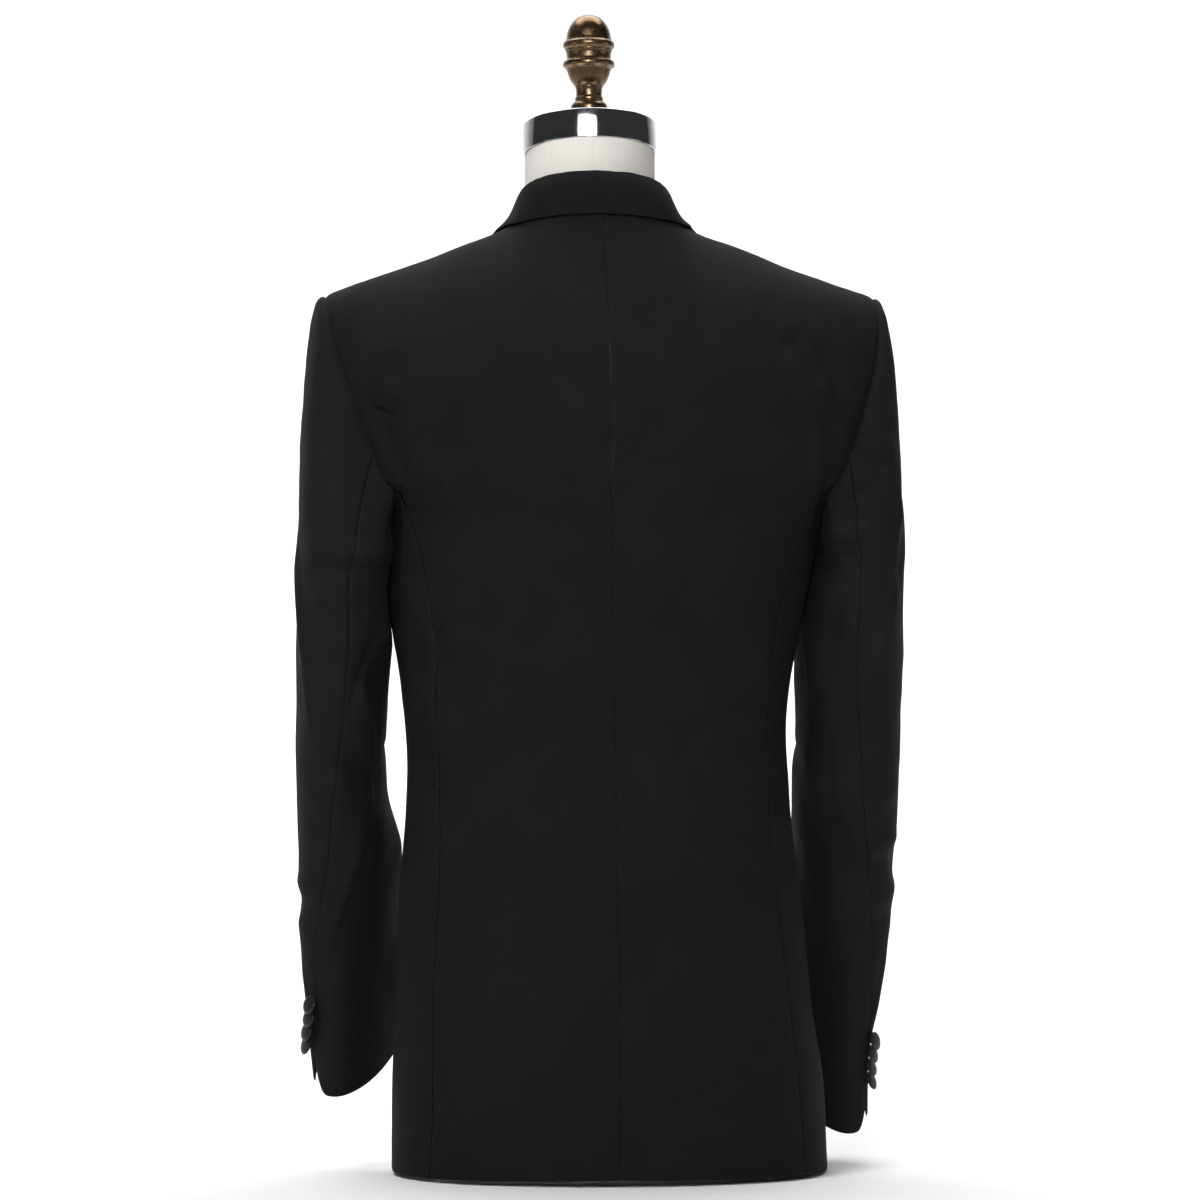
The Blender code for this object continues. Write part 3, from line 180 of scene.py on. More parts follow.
# Folds of the body in millimetres, each a line on the back or front seen square on. Depths below zero are
# troughs.
BODY_FOLDS = {
    "back": (
        # from x, from height, to x, to height, half width, depth
        (163, 634, 176, 624, 6, -2.6),
        (180, 614, 183, 592, 6.5, -3),
        (164, 456, 150, 424, 6, -3),
        (154, 464, 142, 436, 6, 2.4),
        (189, 620, 186, 580, 7, 3),
        (168, 612, 174, 600, 9, 2.6),
        (160, 590, 176, 596, 10, -2.4),
        (177, 588, 160, 548, 6, -3.8),
        (184, 572, 174, 552, 8, 2.6),
        (158, 545, 166, 470, 10, -3.5),
        (150, 574, 140, 540, 14, 1.8),
        (140, 452, 118, 372, 10, -3),
        (156, 440, 132, 362, 9, 2),
        (-169, 634, -185, 594, 6, -4),
        (-182, 640, -193, 604, 8, 2.4),
        (-144, 644, -162, 620, 8, -3.2),
        (-140, 630, -156, 606, 10, 1.8),
        (-162, 586, -172, 580, 8, -2.6),
        (-174, 576, -166, 500, 7, -3.8),
        (-164, 566, -158, 500, 9, 1.8),
        (-88, 374, -124, 382, 10, 2.2),
        (-70, 345, -128, 338, 12, -3),
        (-88, 312, -132, 318, 10, 2.2),
        (-96, 272, -130, 262, 11, -2.2),
        (-20, 120, 60, 60, 22, 1.6),
        (168, 588, 176, 556, 5, -1.4),
        (176, 572, 168, 560, 4, 1.1),
        (150, 520, 158, 462, 5, 1.3),
        (150, 424, 124, 350, 4.5, -1.3),
        (128, 436, 106, 384, 6, 1.2),
        (124, 352, 98, 322, 7, 1.2),
        (140, 330, 118, 300, 6, -1.1),
        (60, 398, 112, 420, 8, 0.9),
        (-186, 590, -190, 560, 4, 1.4),
        (-160, 560, -164, 505, 6, 1.3),
        (-92, 358, -120, 362, 5, -1.2),
        (-80, 328, -126, 326, 5, 1.1),
        (-100, 292, -134, 290, 6, -1.2),
        (-112, 410, -134, 432, 7, -1.2),
        (30, 85, 96, 40, 12, -0.9),
        (-110, 150, -60, 40, 16, 1.1),
        (110, 190, 128, 60, 15, -1),
    ),
    "front": (
        (36, 356, 98, 392, 12, -2.6),
        (38, 386, 90, 430, 12, 2),
        (-36, 354, -94, 384, 12, -2.6),
        (-38, 380, -90, 420, 12, 2),
        (134, 600, 150, 540, 12, -3),
        (-136, 604, -152, 546, 12, -3),
        (70, 260, 112, 160, 20, 1.6),
        (-74, 250, -114, 150, 20, 1.6),
        (44, 370, 80, 396, 5, 1),
        (-44, 366, -82, 388, 5, 1),
        (118, 560, 134, 510, 7, 1.3),
        (-120, 556, -138, 508, 7, 1.3),
        (96, 340, 118, 290, 10, -1.1),
        (-100, 344, -120, 296, 10, -1),
        (40, 120, 90, 50, 16, -1),
        (-50, 110, -90, 60, 16, -1.1),
    ),
}
UNEVEN_WAVES = 18
SWELLS = (
    # seed, size, depth
    (11, 0.085, 0.00055),
    (12, 0.026, 0.00012),
)


def crease(across, along, half_width, depth):
    """Height of a soft fold, steeper on one side. Its line runs from 0 to 1 along it, and it fades beyond."""
    past_end = np.maximum(np.maximum(-along, along - 1), 0)
    width = half_width * (1 + 0.35 * np.tanh(across / half_width))
    return depth * np.exp(-((across / width) ** 2)) * np.exp(-((past_end / 0.25) ** 2))


def unevenness(point, seed, size, depth):
    """The soft swell of pressed cloth: many faint waves in all directions, the same on each run."""
    draw = np.random.default_rng(seed)
    total = np.zeros(point.shape[:-1])
    for _ in range(UNEVEN_WAVES):
        direction = draw.normal(size=3)
        direction /= np.linalg.norm(direction)
        length = size * draw.uniform(0.6, 1.8)
        total += np.sin(TURN * (point @ direction) / length + draw.uniform(0, TURN))
    return depth * total / math.sqrt(UNEVEN_WAVES)


def fold_height(x, height, folds):
    """The folds' relief where x and height are distances on the face that the folds are drawn on."""
    total = np.zeros(np.broadcast(x, height).shape)
    for x0, z0, x1, z1, half_width, depth in folds:
        run = math.hypot(x1 - x0, z1 - z0)
        across = ((x - x0) * (z1 - z0) - (height - z0) * (x1 - x0)) / run
        along = ((x - x0) * (x1 - x0) + (height - z0) * (z1 - z0)) / run**2
        total += crease(across, along, half_width, depth)
    return total


def body_fold_height(x, height, face):
    return fold_height(x, height, np.array(BODY_FOLDS[face]) / 1000)


def cloth_swell(point):
    return sum(unevenness(point, *swell) for swell in SWELLS)


def section_depth(x, height, face):
    """How far the round of the body stands behind (or before) the side line at x."""
    across = np.minimum(np.abs(x - BODY.at("centre", height)) / BODY.at("half_width", height), 1)
    power = BODY.at("squareness", height)
    return BODY.at(face, height) * (1 - across**power) ** (1 / power)


def panel_edges(side, height, face):
    """World x of a panel's inner and outer edge at a height."""
    centre = BODY.at("centre", height)
    if face == "back":
        inner = CENTRE_SEAM.at("x", height)
    else:
        inner = centre + side * FRONT_EDGE.at("from_centre", height)
    outer = centre + side * EDGES.at(face + "_edge", height)
    return inner, outer


def panel_top(share, face):
    """The top of a panel's line: height and depth of its ridge, its roundness, and the angle at its end."""
    start = 0.0 if face == "back" else NECK_POINT
    reach = start + share * (SHOULDER_TIP - start)
    height = SHOULDER.at("height", reach)
    depth = SHOULDER.at("depth", reach)
    if face == "front":
        return height, depth, 1.9 + 0.3 * share, math.pi / 2
    roundness = 2.12 + 0.38 * np.clip(reach / 0.11, 0, 1) ** 2
    neckline = NECK_HEIGHT + NECKLINE_RISE * np.sqrt(np.maximum(1 - (reach / NECK_POINT) ** 2, 0))
    up = np.clip((neckline - CHEST) / (height - CHEST), 0, 1)
    last = np.where(reach < NECK_POINT, np.arcsin(up ** (roundness / 2)), math.pi / 2)
    return height, depth, roundness, last


def bare_panel(side, share, rise, face):
    """Point of the back or front: share 0 to 1 from its inner edge, rise 0 to 1 to the chest and on to 2."""
    hem = BACK_HEM + (FRONT_HEM - BACK_HEM) * share if face == "back" else FRONT_HEM
    top, top_depth, roundness, last = panel_top(share, face)
    over = np.clip(rise - 1, 0, 1) * last
    height = np.where(
        rise <= 1,
        hem + (CHEST - hem) * rise,
        CHEST + (top - CHEST) * np.sin(over) ** (2 / roundness),
    )
    turned_in = np.where(rise <= 1, 1, np.abs(np.cos(over)) ** (2 / roundness))
    inner, outer = panel_edges(side, height, face)
    x = inner + share * (outer - inner)
    depth = section_depth(x, height, face)
    if face == "front":
        depth, top_depth = -depth, top_depth - SEAM_GAP
    y = top_depth + (depth - top_depth) * turned_in
    return np.stack(np.broadcast_arrays(x, y, height), -1)


def turned_away(normal, point, away):
    """Unit normals that point away from the points in away."""
    normal = normal / np.maximum(np.linalg.norm(normal, axis=-1, keepdims=True), 1e-12)
    facing = np.sum(normal * (point - away), axis=-1, keepdims=True)
    return normal * np.where(facing < 0, -1, 1)


def outward(point_at, u, v, away):
    """Normals of a surface that is given as a function of two numbers."""
    along_u = point_at(u + NORMAL_STEP, v) - point_at(u - NORMAL_STEP, v)
    along_v = point_at(u, v + NORMAL_STEP) - point_at(u, v - NORMAL_STEP)
    return turned_away(np.cross(along_u, along_v), point_at(u, v), away)


def folded_panel(side, share, rise, face):
    """The panel with the swell of the cloth and its folds, which die out before the armhole."""
    def bare(u, v):
        return bare_panel(side, u, v, face)
    point = bare(share, rise)
    normal = outward(bare, share, rise, BODY_AXIS)
    at_armhole = np.clip((point[..., 2] - ARMHOLE_CORNER) / ARMHOLE_FADE, 0, 1)
    near_edge = 1 - np.clip((1 - share) * SHOULDER_TIP / FOLD_END, 0, 1) ** 2
    relief = body_fold_height(point[..., 0], point[..., 2], face) + cloth_swell(point)
    return point + normal * (relief * (1 - at_armhole * near_edge))[..., None]


def lifted_panel(side, share, rise, face, lift):
    """The folded panel, moved out along its own normals."""
    def folded(u, v):
        return folded_panel(side, u, v, face)
    normal = outward(folded, share, rise, BODY_AXIS)
    lift = np.broadcast_to(lift, np.broadcast(share, rise).shape)
    return folded(share, rise) + normal * lift[..., None]


def fine_places(length, step):
    """Places from 0 to 1 on a length: even steps, and closer ones where the edges roll in."""
    close = EDGE_STEPS / length
    between = np.linspace(close[-1], 1 - close[-1], max(round(length / step), 3))[1:-1]
    return np.concatenate((close, between, 1 - close[::-1]))


def grid_normals(grid, away):
    return turned_away(np.cross(np.gradient(grid, axis=0), np.gradient(grid, axis=1)), grid, away)


def runs(grid):
    """Length along each row and along each column of a grid, from its first point."""
    across = np.linalg.norm(np.diff(grid, axis=1, prepend=grid[:, :1]), axis=-1).cumsum(1)
    up = np.linalg.norm(np.diff(grid, axis=0, prepend=grid[:1]), axis=-1).cumsum(0)
    return across, up


def edge_roll(grid):
    """How far each point is rolled in, by its distance from the piece's edges."""
    across, up = runs(grid)
    from_edge = np.minimum(np.minimum(across, across[:, -1:] - across), np.minimum(up, up[-1:] - up))
    return EDGE_ROLL * np.exp(-((from_edge / EDGE_SOFTNESS) ** 2))


def tailored(grid, away, wall):
    """Outer and inner skin of a piece whose pressed edges roll in."""
    roll = edge_roll(grid)
    normal = grid_normals(grid, away)
    return grid - normal * roll[..., None], grid - normal * (wall - UNDER_ROLL * roll)[..., None]


def add_object(name, data):
    made = bpy.data.objects.new(name, data)
    bpy.context.scene.collection.objects.link(made)
    return made


def add_mesh(name, points, faces, places, finish):
    """A smooth piece. places are its points on the flat cloth, kept as the map that its weave follows."""
    mesh = bpy.data.meshes.new(name)
    mesh.from_pydata(points.tolist(), [], faces)
    corners = np.empty(len(mesh.loops), np.int32)
    mesh.loops.foreach_get("vertex_index", corners)
    mesh.uv_layers.new(name="Flat").uv.foreach_set("vector", places[corners].astype(np.float32).ravel())
    mesh.materials.append(finish)
    mesh.shade_smooth()
    mesh.set_sharp_from_angle(angle=SHARP_ANGLE)
    piece = add_object(name, mesh)
    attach(piece, "root")
    return piece


def add_shell(name, outer, inner, finish):
    """One closed shell between an outer and an inner grid of points."""
    rows, columns = outer.shape[:2]
    index = np.arange(rows * columns).reshape(rows, columns)
    under = rows * columns
    skin = np.stack((index[:-1, :-1], index[:-1, 1:], index[1:, 1:], index[1:, :-1]), -1).reshape(-1, 4)
    rim = np.concatenate((index[0, :-1], index[:-1, -1], index[-1, :0:-1], index[:0:-1, 0]))
    following = np.roll(rim, -1)
    joined = np.stack((rim, rim + under, following + under, following), -1)
    faces = np.concatenate((skin, skin[:, ::-1] + under, joined))
    turned = np.cross(np.gradient(outer, axis=1), np.gradient(outer, axis=0))
    if np.sum(turned * (outer - inner)) < 0:
        faces = faces[:, ::-1]
    across, up = runs(outer)
    across = across - across[:, -1:] / 2
    up = np.broadcast_to(up[:, columns // 2:columns // 2 + 1], across.shape)
    places = np.stack((across, up), -1).reshape(-1, 2)
    points = np.concatenate((outer.reshape(-1, 3), inner.reshape(-1, 3)))
    return add_mesh(name, points, faces.tolist(), np.concatenate((places, places)), finish)


def add_node(tree, kind, inputs=None, **settings):
    """A shader node. inputs names its sockets, each with a value or with the socket that feeds it."""
    made = tree.nodes.new(kind)
    for key, value in settings.items():
        setattr(made, key, value)
    for key, value in (inputs or {}).items():
        if isinstance(value, bpy.types.NodeSocket):
            tree.links.new(value, made.inputs[key])
        else:
            made.inputs[key].default_value = value
    return made


def combine(tree, operation, first, second=0.0):
    return add_node(tree, "ShaderNodeMath", {0: first, 1: second}, operation=operation).outputs[0]


def stretched(tree, place, factors):
    """A place with its coordinates multiplied, which draws out or presses together what is read there."""
    return add_node(tree, "ShaderNodeVectorMath", {0: place, 1: factors}, operation="MULTIPLY").outputs[0]


def new_group(name, inputs, outputs):
    """An empty node group with float or vector sockets; returns it with its input and output nodes."""
    group = bpy.data.node_groups.new(name, "ShaderNodeTree")
    for direction, sockets in (("INPUT", inputs), ("OUTPUT", outputs)):
        for socket, kind in sockets:
            group.interface.new_socket(socket, in_out=direction, socket_type="NodeSocket" + kind)
    return group, group.nodes.new("NodeGroupInput"), group.nodes.new("NodeGroupOutput")


def make_weave():
    """Threads over and under each other. Slant 0 is a plain weave, and 1 the diagonal ribs of a twill."""
    group, given, out = new_group(
        "Weave",
        (("Place", "Vector"), ("Threads per metre", "Float"), ("Slant", "Float")),
        (("Height", "Float"), ("Yarn", "Float")),
    )
    place = add_node(group, "ShaderNodeVectorMath", {0: given.outputs["Place"]}, operation="SCALE")
    group.links.new(given.outputs["Threads per metre"], place.inputs["Scale"])
    axes = add_node(group, "ShaderNodeSeparateXYZ", {0: place.outputs[0]}).outputs
    leaning = combine(group, "MULTIPLY", axes["Y"], given.outputs["Slant"])
    warp = combine(group, "SINE", combine(group, "MULTIPLY", combine(group, "ADD", axes["X"], leaning), TURN))
    weft = combine(group, "SINE", combine(group, "MULTIPLY", axes["Y"], TURN))
    crossing = combine(group, "MULTIPLY", combine(group, "ADD", warp, weft), 0.25)
    group.links.new(combine(group, "ADD", crossing, 0.5), out.inputs["Height"])
    drawn_out = stretched(group, place.outputs[0], (1.0, 0.035, 1.0))
    yarn = add_node(group, "ShaderNodeTexNoise", {"Vector": drawn_out, "Scale": 0.9, "Detail": 1.0})
    group.links.new(yarn.outputs["Fac"], out.inputs["Yarn"])
    return group


def make_mottle():
    """Uneven shade over a few centimetres with finer grain in it, for cloth and metal alike."""
    group, given, out = new_group("Mottle", (("Place", "Vector"), ("Size", "Float")), (("Mask", "Float"),))
    scale = combine(group, "DIVIDE", 1.0, given.outputs["Size"])
    noise = {"Vector": given.outputs["Place"], "Scale": scale, "Detail": 5.0, "Roughness": 0.6}
    broad = add_node(group, "ShaderNodeTexNoise", noise).outputs["Fac"]
    even = add_node(group, "ShaderNodeMapRange", {"Value": broad, "From Min": 0.32, "From Max": 0.68})
    group.links.new(even.outputs[0], out.inputs["Mask"])
    return group


def make_lint():
    """Sparse short fibres and specks that settle on dark cloth."""
    group, given, out = new_group("Lint", (("Place", "Vector"), ("Amount", "Float")), (("Mask", "Float"),))
    drawn_out = stretched(group, given.outputs["Place"], (1.0, 0.45, 0.7))
    specks = add_node(group, "ShaderNodeTexVoronoi", {"Vector": drawn_out, "Scale": 210.0})
    fade = {"From Min": 0.03, "From Max": 0.10, "To Min": 1.0, "To Max": 0.0}
    near = add_node(group, "ShaderNodeMapRange", {"Value": specks.outputs["Distance"], **fade})
    rare = add_node(group, "ShaderNodeSeparateColor", {"Color": specks.outputs["Color"]})
    chosen = combine(group, "GREATER_THAN", rare.outputs[0], 0.93)
    shown = combine(group, "MULTIPLY", near.outputs[0], chosen)
    group.links.new(combine(group, "MULTIPLY", shown, given.outputs["Amount"]), out.inputs["Mask"])
    return group


WEAVE, MOTTLE, LINT = make_weave(), make_mottle(), make_lint()


def use_group(tree, group, **inputs):
    named = {key.replace("_", " "): value for key, value in inputs.items()}
    return add_node(tree, "ShaderNodeGroup", named, node_tree=group).outputs


def new_material(name, **plain):
    """A material with its shader; plain names the shader's sockets that are the same all over."""
    made = bpy.data.materials.new(name)
    made.use_nodes = True
    shader = made.node_tree.nodes["Principled BSDF"]
    for socket, value in plain.items():
        shader.inputs[socket.replace("_", " ")].default_value = value
    return made, made.node_tree, shader


def blend_colours(tree, mask, first, second):
    """The first colour where the mask is 0, the second where it is 1. Each is three numbers or a socket."""
    ends = [end if isinstance(end, bpy.types.NodeSocket) else (*end, 1) for end in (first, second)]
    mix = add_node(tree, "ShaderNodeMix", {0: mask, 6: ends[0], 7: ends[1]}, data_type="RGBA")
    return mix.outputs[2]


def ranged(tree, value, low, high):
    return add_node(tree, "ShaderNodeMapRange", {"Value": value, "To Min": low, "To Max": high}).outputs[0]


def object_place(tree):
    return add_node(tree, "ShaderNodeTexCoord").outputs["Object"]


def flat_place(tree):
    """Each point's place on the flat cloth."""
    return add_node(tree, "ShaderNodeUVMap", uv_map="Flat").outputs[0]


def bump(tree, height, strength, distance, **below):
    """Relief for a shader's normal; below is the normal that it lies on, if any."""
    inputs = {"Height": height, "Strength": strength, "Distance": distance, **below}
    return add_node(tree, "ShaderNodeBump", inputs).outputs[0]


def feed(tree, shader, **sockets):
    for socket, value in sockets.items():
        tree.links.new(value, shader.inputs[socket.replace("_", " ")])


def make_worsted(name, dark, light):
    """Fine black worsted: a steep small twill, a dull nap with a faint bloom, and a little lint."""
    bloom = {"Sheen_Weight": 0.010, "Sheen_Roughness": 0.45, "Sheen_Tint": (0.80, 0.84, 0.90, 1)}
    made, tree, shader = new_material(name, Specular_IOR_Level=0.06, **bloom)
    solid = object_place(tree)
    weave = use_group(tree, WEAVE, Place=flat_place(tree), Threads_per_metre=1250.0, Slant=0.6)
    mottle = use_group(tree, MOTTLE, Place=solid, Size=0.045)["Mask"]
    lint = use_group(tree, LINT, Place=solid, Amount=0.22)["Mask"]
    nap = add_node(tree, "ShaderNodeTexNoise", {"Vector": solid, "Scale": 650.0, "Detail": 3.0})
    shade = combine(tree, "MULTIPLY", mottle, 0.55)
    tone = combine(tree, "ADD", shade, combine(tree, "MULTIPLY", weave["Yarn"], 0.45))
    feed(
        tree,
        shader,
        Base_Color=blend_colours(tree, lint, blend_colours(tree, tone, dark, light), (0.20, 0.20, 0.21)),
        Roughness=ranged(tree, mottle, 0.74, 0.88),
        Normal=bump(tree, weave["Height"], 0.6, 0.00012, Normal=bump(tree, nap.outputs["Fac"], 0.35, 0.0004)),
    )
    return made


BODY_WORSTED = make_worsted("body_worsted", (0.0056, 0.0056, 0.0062), (0.0096, 0.0096, 0.0103))
BACK_LENGTH = 0.79       # along the cloth from hem to shoulder seam
BELOW_CHEST = 0.70       # share of that length
BACK_RISES = np.interp(fine_places(BACK_LENGTH, UP_STEP), (0, BELOW_CHEST, 1), (0, 1, 2))

for name, side in SIDES:
    width = SHOULDER_TIP
    shares = SEAM_GAP / 2 / width + fine_places(width, ACROSS_STEP) * (1 - 2 * SEAM_GAP / width)
    share, rise = np.meshgrid(shares, BACK_RISES)
    outer, inner = tailored(folded_panel(side, share, rise, "back"), BODY_AXIS, CLOTH)
    back = add_shell("back_cloth_" + name, outer, inner, BODY_WORSTED)
    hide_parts("back_" + name)

# ================================================================ side bodies
# A narrow panel of the same worsted under each arm, sewn to the back and the front. Its top edge is the
# lowest part of the armhole.
UNDERARM = 0.505         # lowest point of the armhole
SIDE_WIDTH = 0.12
SIDE_BLEND = 0.04        # the back's and the front's folds die out over this depth at the side
SIDE_FOLD_X, SIDE_FOLD_Y = 0.6, 0.8  # a fold's direction there


def side_turn(height, face):
    """Angle round the body's section, from straight behind, of the edge of the back or front."""
    reach = EDGES.at(face + "_edge", height) / BODY.at("half_width", height)
    angle = np.arcsin(np.clip(reach, 0, 1) ** (BODY.at("squareness", height) / 2))
    return angle if face == "back" else math.pi - angle


def side_body(side, share, rise):
    """Point of a side body: share 0 to 1 from back to front, rise 0 to 1 up to the armhole."""
    top = UNDERARM + (ARMHOLE_CORNER - UNDERARM) * (2 * share - 1) ** 2
    height = FRONT_HEM + (top - FRONT_HEM) * rise
    first = side_turn(height, "back")
    last = side_turn(height, "front")
    angle = first + share * (last - first)
    power = 2 / BODY.at("squareness", height)
    depth = np.where(np.cos(angle) > 0, BODY.at("back", height), BODY.at("front", height))
    x = BODY.at("centre", height) + side * BODY.at("half_width", height) * np.sin(angle) ** power
    y = depth * np.sign(np.cos(angle)) * np.abs(np.cos(angle)) ** power
    point = np.stack((x, y, height), -1)
    fold = body_fold_height(x, height, "back") * np.clip(y / SIDE_BLEND, 0, 1)
    fold = fold + body_fold_height(x, height, "front") * np.clip(-y / SIDE_BLEND, 0, 1)
    fold = fold + cloth_swell(point)
    point[..., 0] += side * fold * SIDE_FOLD_X
    point[..., 1] += fold * SIDE_FOLD_Y * np.sign(y)
    return point


for name, side in SIDES:
    shares = SEAM_GAP / SIDE_WIDTH + fine_places(SIDE_WIDTH, ACROSS_STEP) * (1 - 2 * SEAM_GAP / SIDE_WIDTH)
    share, rise = np.meshgrid(shares, fine_places(ARMHOLE_CORNER, UP_STEP))
    outer, inner = tailored(side_body(side, share, rise), BODY_AXIS, CLOTH)
    panel = add_shell("side_cloth_" + name, outer, inner, BODY_WORSTED)
    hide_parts("side_" + name)

# ================================================================ fronts
# Each front is one panel from the shoulder to a rounded hem corner. The left one laps over the right one
# and closes with a single button; above it both turn out into the lapels along the roll line.
LAP_LIFT = 0.0031        # the left front lies this far out over the right one at the button
LAP_EDGE = 0.032         # the lap fades past this distance from the centre line
LAP_MIDDLE, LAP_REACH = 0.31, 0.180
LAP_SOFT_ACROSS, LAP_SOFT_UP = 0.006, 0.012
FRONT_WIDTH = 0.13
BUTTON_POINT = 0.365


def front_lift(side, x, height):
    """The left front stands out over the right one where they lap."""
    if side == RIGHT:
        return np.zeros(np.broadcast(x, height).shape)
    near_centre = 1 / (1 + np.exp((x - LAP_EDGE) / LAP_SOFT_ACROSS))
    at_lap = 1 / (1 + np.exp((np.abs(height - LAP_MIDDLE) - LAP_REACH) / LAP_SOFT_UP))
    return LAP_LIFT * near_centre * at_lap


def front_skin(side, share, rise, lift):
    """Points of a front, moved out by lift."""
    flat = bare_panel(side, share, rise, "front")
    return lifted_panel(side, share, rise, "front", lift + front_lift(side, flat[..., 0], flat[..., 2]))


for name, side in SIDES:
    shares = fine_places(FRONT_WIDTH, ACROSS_STEP) * (1 - SEAM_GAP / FRONT_WIDTH)
    share, rise = np.meshgrid(shares, BACK_RISES)
    outer, inner = tailored(front_skin(side, share, rise, 0), BODY_AXIS, CLOTH)
    front = add_shell("front_cloth_" + name, outer, inner, BODY_WORSTED)
    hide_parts("front_" + name)

# ================================================================ lapels
# Peak lapels faced with black silk, turned out over a soft canvas roll. Their edges are pressed flat and
# pick-stitched, and the left one has a worked buttonhole under its peak.
LAPEL_WALL = 0.0016
LAPEL_STAND_OFF = 0.0013  # its under side over the front
LAPEL_TOP_LIFT = LAPEL_STAND_OFF + LAPEL_WALL
LAPEL_FOOT = {LEFT: BUTTON_POINT + 0.012, RIGHT: 0.443}  # the right one runs on under the left front
LAPEL = Table(
    ("height", "width"),
    (0.377, 0.003),
    (0.410, 0.013),
    (0.450, 0.025),
    (0.500, 0.040),
    (0.560, 0.056),
    (0.620, 0.070),
    (0.683, 0.080),
)
# The top edge: from the roll line down along the gorge to the notch, and out to the raised peak.
LAPEL_TOP = Table(
    ("share", "height"),
    (0.00, 0.682),
    (0.30, 0.668),
    (0.56, 0.656),
    (0.64, 0.660),
    (1.00, 0.683),
)
ROLL_HEIGHT = 0.0022     # the roll stands this much higher at the fold
ROLL_WIDTH = 0.009
BEHIND_ROLL = 0.0012     # the facing reaches this far past the roll line
FACING_WIDTH, FACING_LENGTH = 0.08, 0.30


def place_on_panel(side, x, height, face):
    """The share and rise at which a panel passes through x and height."""
    inner, outer = panel_edges(side, height, face)
    share = (x - inner) / (outer - inner)
    hem = BACK_HEM + (FRONT_HEM - BACK_HEM) * share if face == "back" else FRONT_HEM
    top, _, roundness, last = panel_top(share, face)
    up = np.clip((height - CHEST) / (top - CHEST), 0, 1)
    rise = np.where(
        height <= CHEST,
        (height - hem) / (CHEST - hem),
        1 + np.arcsin(up ** (roundness / 2)) / last,
    )
    return share, rise


def lapel_point(side, share, rise, lift):
    """Point of a lapel on the front below it: share 0 to 1 from the roll line out, rise 0 to 1 up."""
    foot = LAPEL_FOOT[side]
    height = foot + (LAPEL_TOP.at("height", share) - foot) * rise
    inner = panel_edges(side, height, "front")[0]
    across = share * (LAPEL.at("width", height) + BEHIND_ROLL) - BEHIND_ROLL
    on_front, front_rise = place_on_panel(side, inner + side * across, height, "front")
    roll = ROLL_HEIGHT * np.exp(-across / ROLL_WIDTH)
    lap = front_lift(side, inner + side * across, height)
    return lifted_panel(side, on_front, front_rise, "front", lift + roll + lap)


def make_silk():
    """Black silk facing: a fine cross-rib that catches the light in soft streaks."""
    made, tree, shader = new_material(
        "silk_facing", Sheen_Weight=0.06, Sheen_Roughness=0.30, Specular_IOR_Level=0.55, Anisotropic=0.35
    )
    solid = object_place(tree)
    weave = use_group(tree, WEAVE, Place=flat_place(tree), Threads_per_metre=1500.0, Slant=0.0)
    mottle = use_group(tree, MOTTLE, Place=solid, Size=0.030)["Mask"]
    lint = use_group(tree, LINT, Place=solid, Amount=0.12)["Mask"]
    tone = combine(tree, "MULTIPLY", combine(tree, "ADD", mottle, weave["Yarn"]), 0.5)
    colour = blend_colours(tree, tone, (0.0060, 0.0060, 0.0070), (0.0120, 0.0120, 0.0135))
    feed(
        tree,
        shader,
        Base_Color=blend_colours(tree, lint, colour, (0.28, 0.28, 0.30)),
        Roughness=ranged(tree, weave["Yarn"], 0.26, 0.44),
        Normal=bump(tree, weave["Height"], 0.45, 0.00010),
    )
    return made


SILK = make_silk()
LAPELS = {}

for name, side in SIDES:
    share, rise = np.meshgrid(fine_places(FACING_WIDTH, 0.0022), fine_places(FACING_LENGTH, 0.0026))
    outer, inner = tailored(lapel_point(side, share, rise, LAPEL_TOP_LIFT), BODY_AXIS, LAPEL_WALL)
    lapel = LAPELS[name] = add_shell("lapel_facing_" + name, outer, inner, SILK)
    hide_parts("lapel_" + name)

# ================================================================ sleeves
# Two-piece sleeves of the same worsted, set into the armholes over a small roll of fullness and left
# hanging empty. Their copy of the worsted is painted a little warmer and lighter than the body's: painted
# light for the warmer, brighter light that falls on the sleeves. The top sleeve wraps the outside of the arm,
# the under sleeve its inside; their back seam ends in the cuff's vent.
SLEEVE_COLUMNS = ("height", "out", "forward", "deep", "across", "turned", "pitch")
SLEEVES = {
    LEFT: Table(
        SLEEVE_COLUMNS,
        (0.455, 0.1985, 0.004, 0.080, 0.0335, 6, 4),
        (0.400, 0.1975, 0.010, 0.074, 0.0362, 6, 6),
        (0.345, 0.1978, 0.018, 0.069, 0.0350, 8, 8),
        (0.300, 0.1970, 0.028, 0.066, 0.0340, 11, 10),
        (0.252, 0.1930, 0.040, 0.063, 0.0355, 16, 13),
        (0.205, 0.1922, 0.053, 0.061, 0.0335, 21, 16),
        (0.150, 0.1880, 0.068, 0.059, 0.0300, 25, 20),
        (0.110, 0.1842, 0.079, 0.0575, 0.0268, 28, 24),
        (0.086, 0.1822, 0.085, 0.056, 0.0245, 29, 29),
    ),
    RIGHT: Table(
        SLEEVE_COLUMNS,
        (0.455, 0.2010, 0.004, 0.080, 0.0345, 5, 4),
        (0.400, 0.1992, 0.012, 0.075, 0.0400, 5, 6),
        (0.345, 0.2000, 0.020, 0.070, 0.0385, 6, 8),
        (0.300, 0.1990, 0.030, 0.067, 0.0380, 8, 10),
        (0.252, 0.1985, 0.045, 0.063, 0.0372, 12, 13),
        (0.205, 0.1975, 0.062, 0.061, 0.0350, 16, 17),
        (0.150, 0.1930, 0.082, 0.0585, 0.0310, 20, 22),
        (0.100, 0.1885, 0.098, 0.057, 0.0275, 22, 28),
        (0.060, 0.1885, 0.107, 0.056, 0.0260, 24, 34),
    ),
}
SLEEVE_ROUNDNESS = 2.15
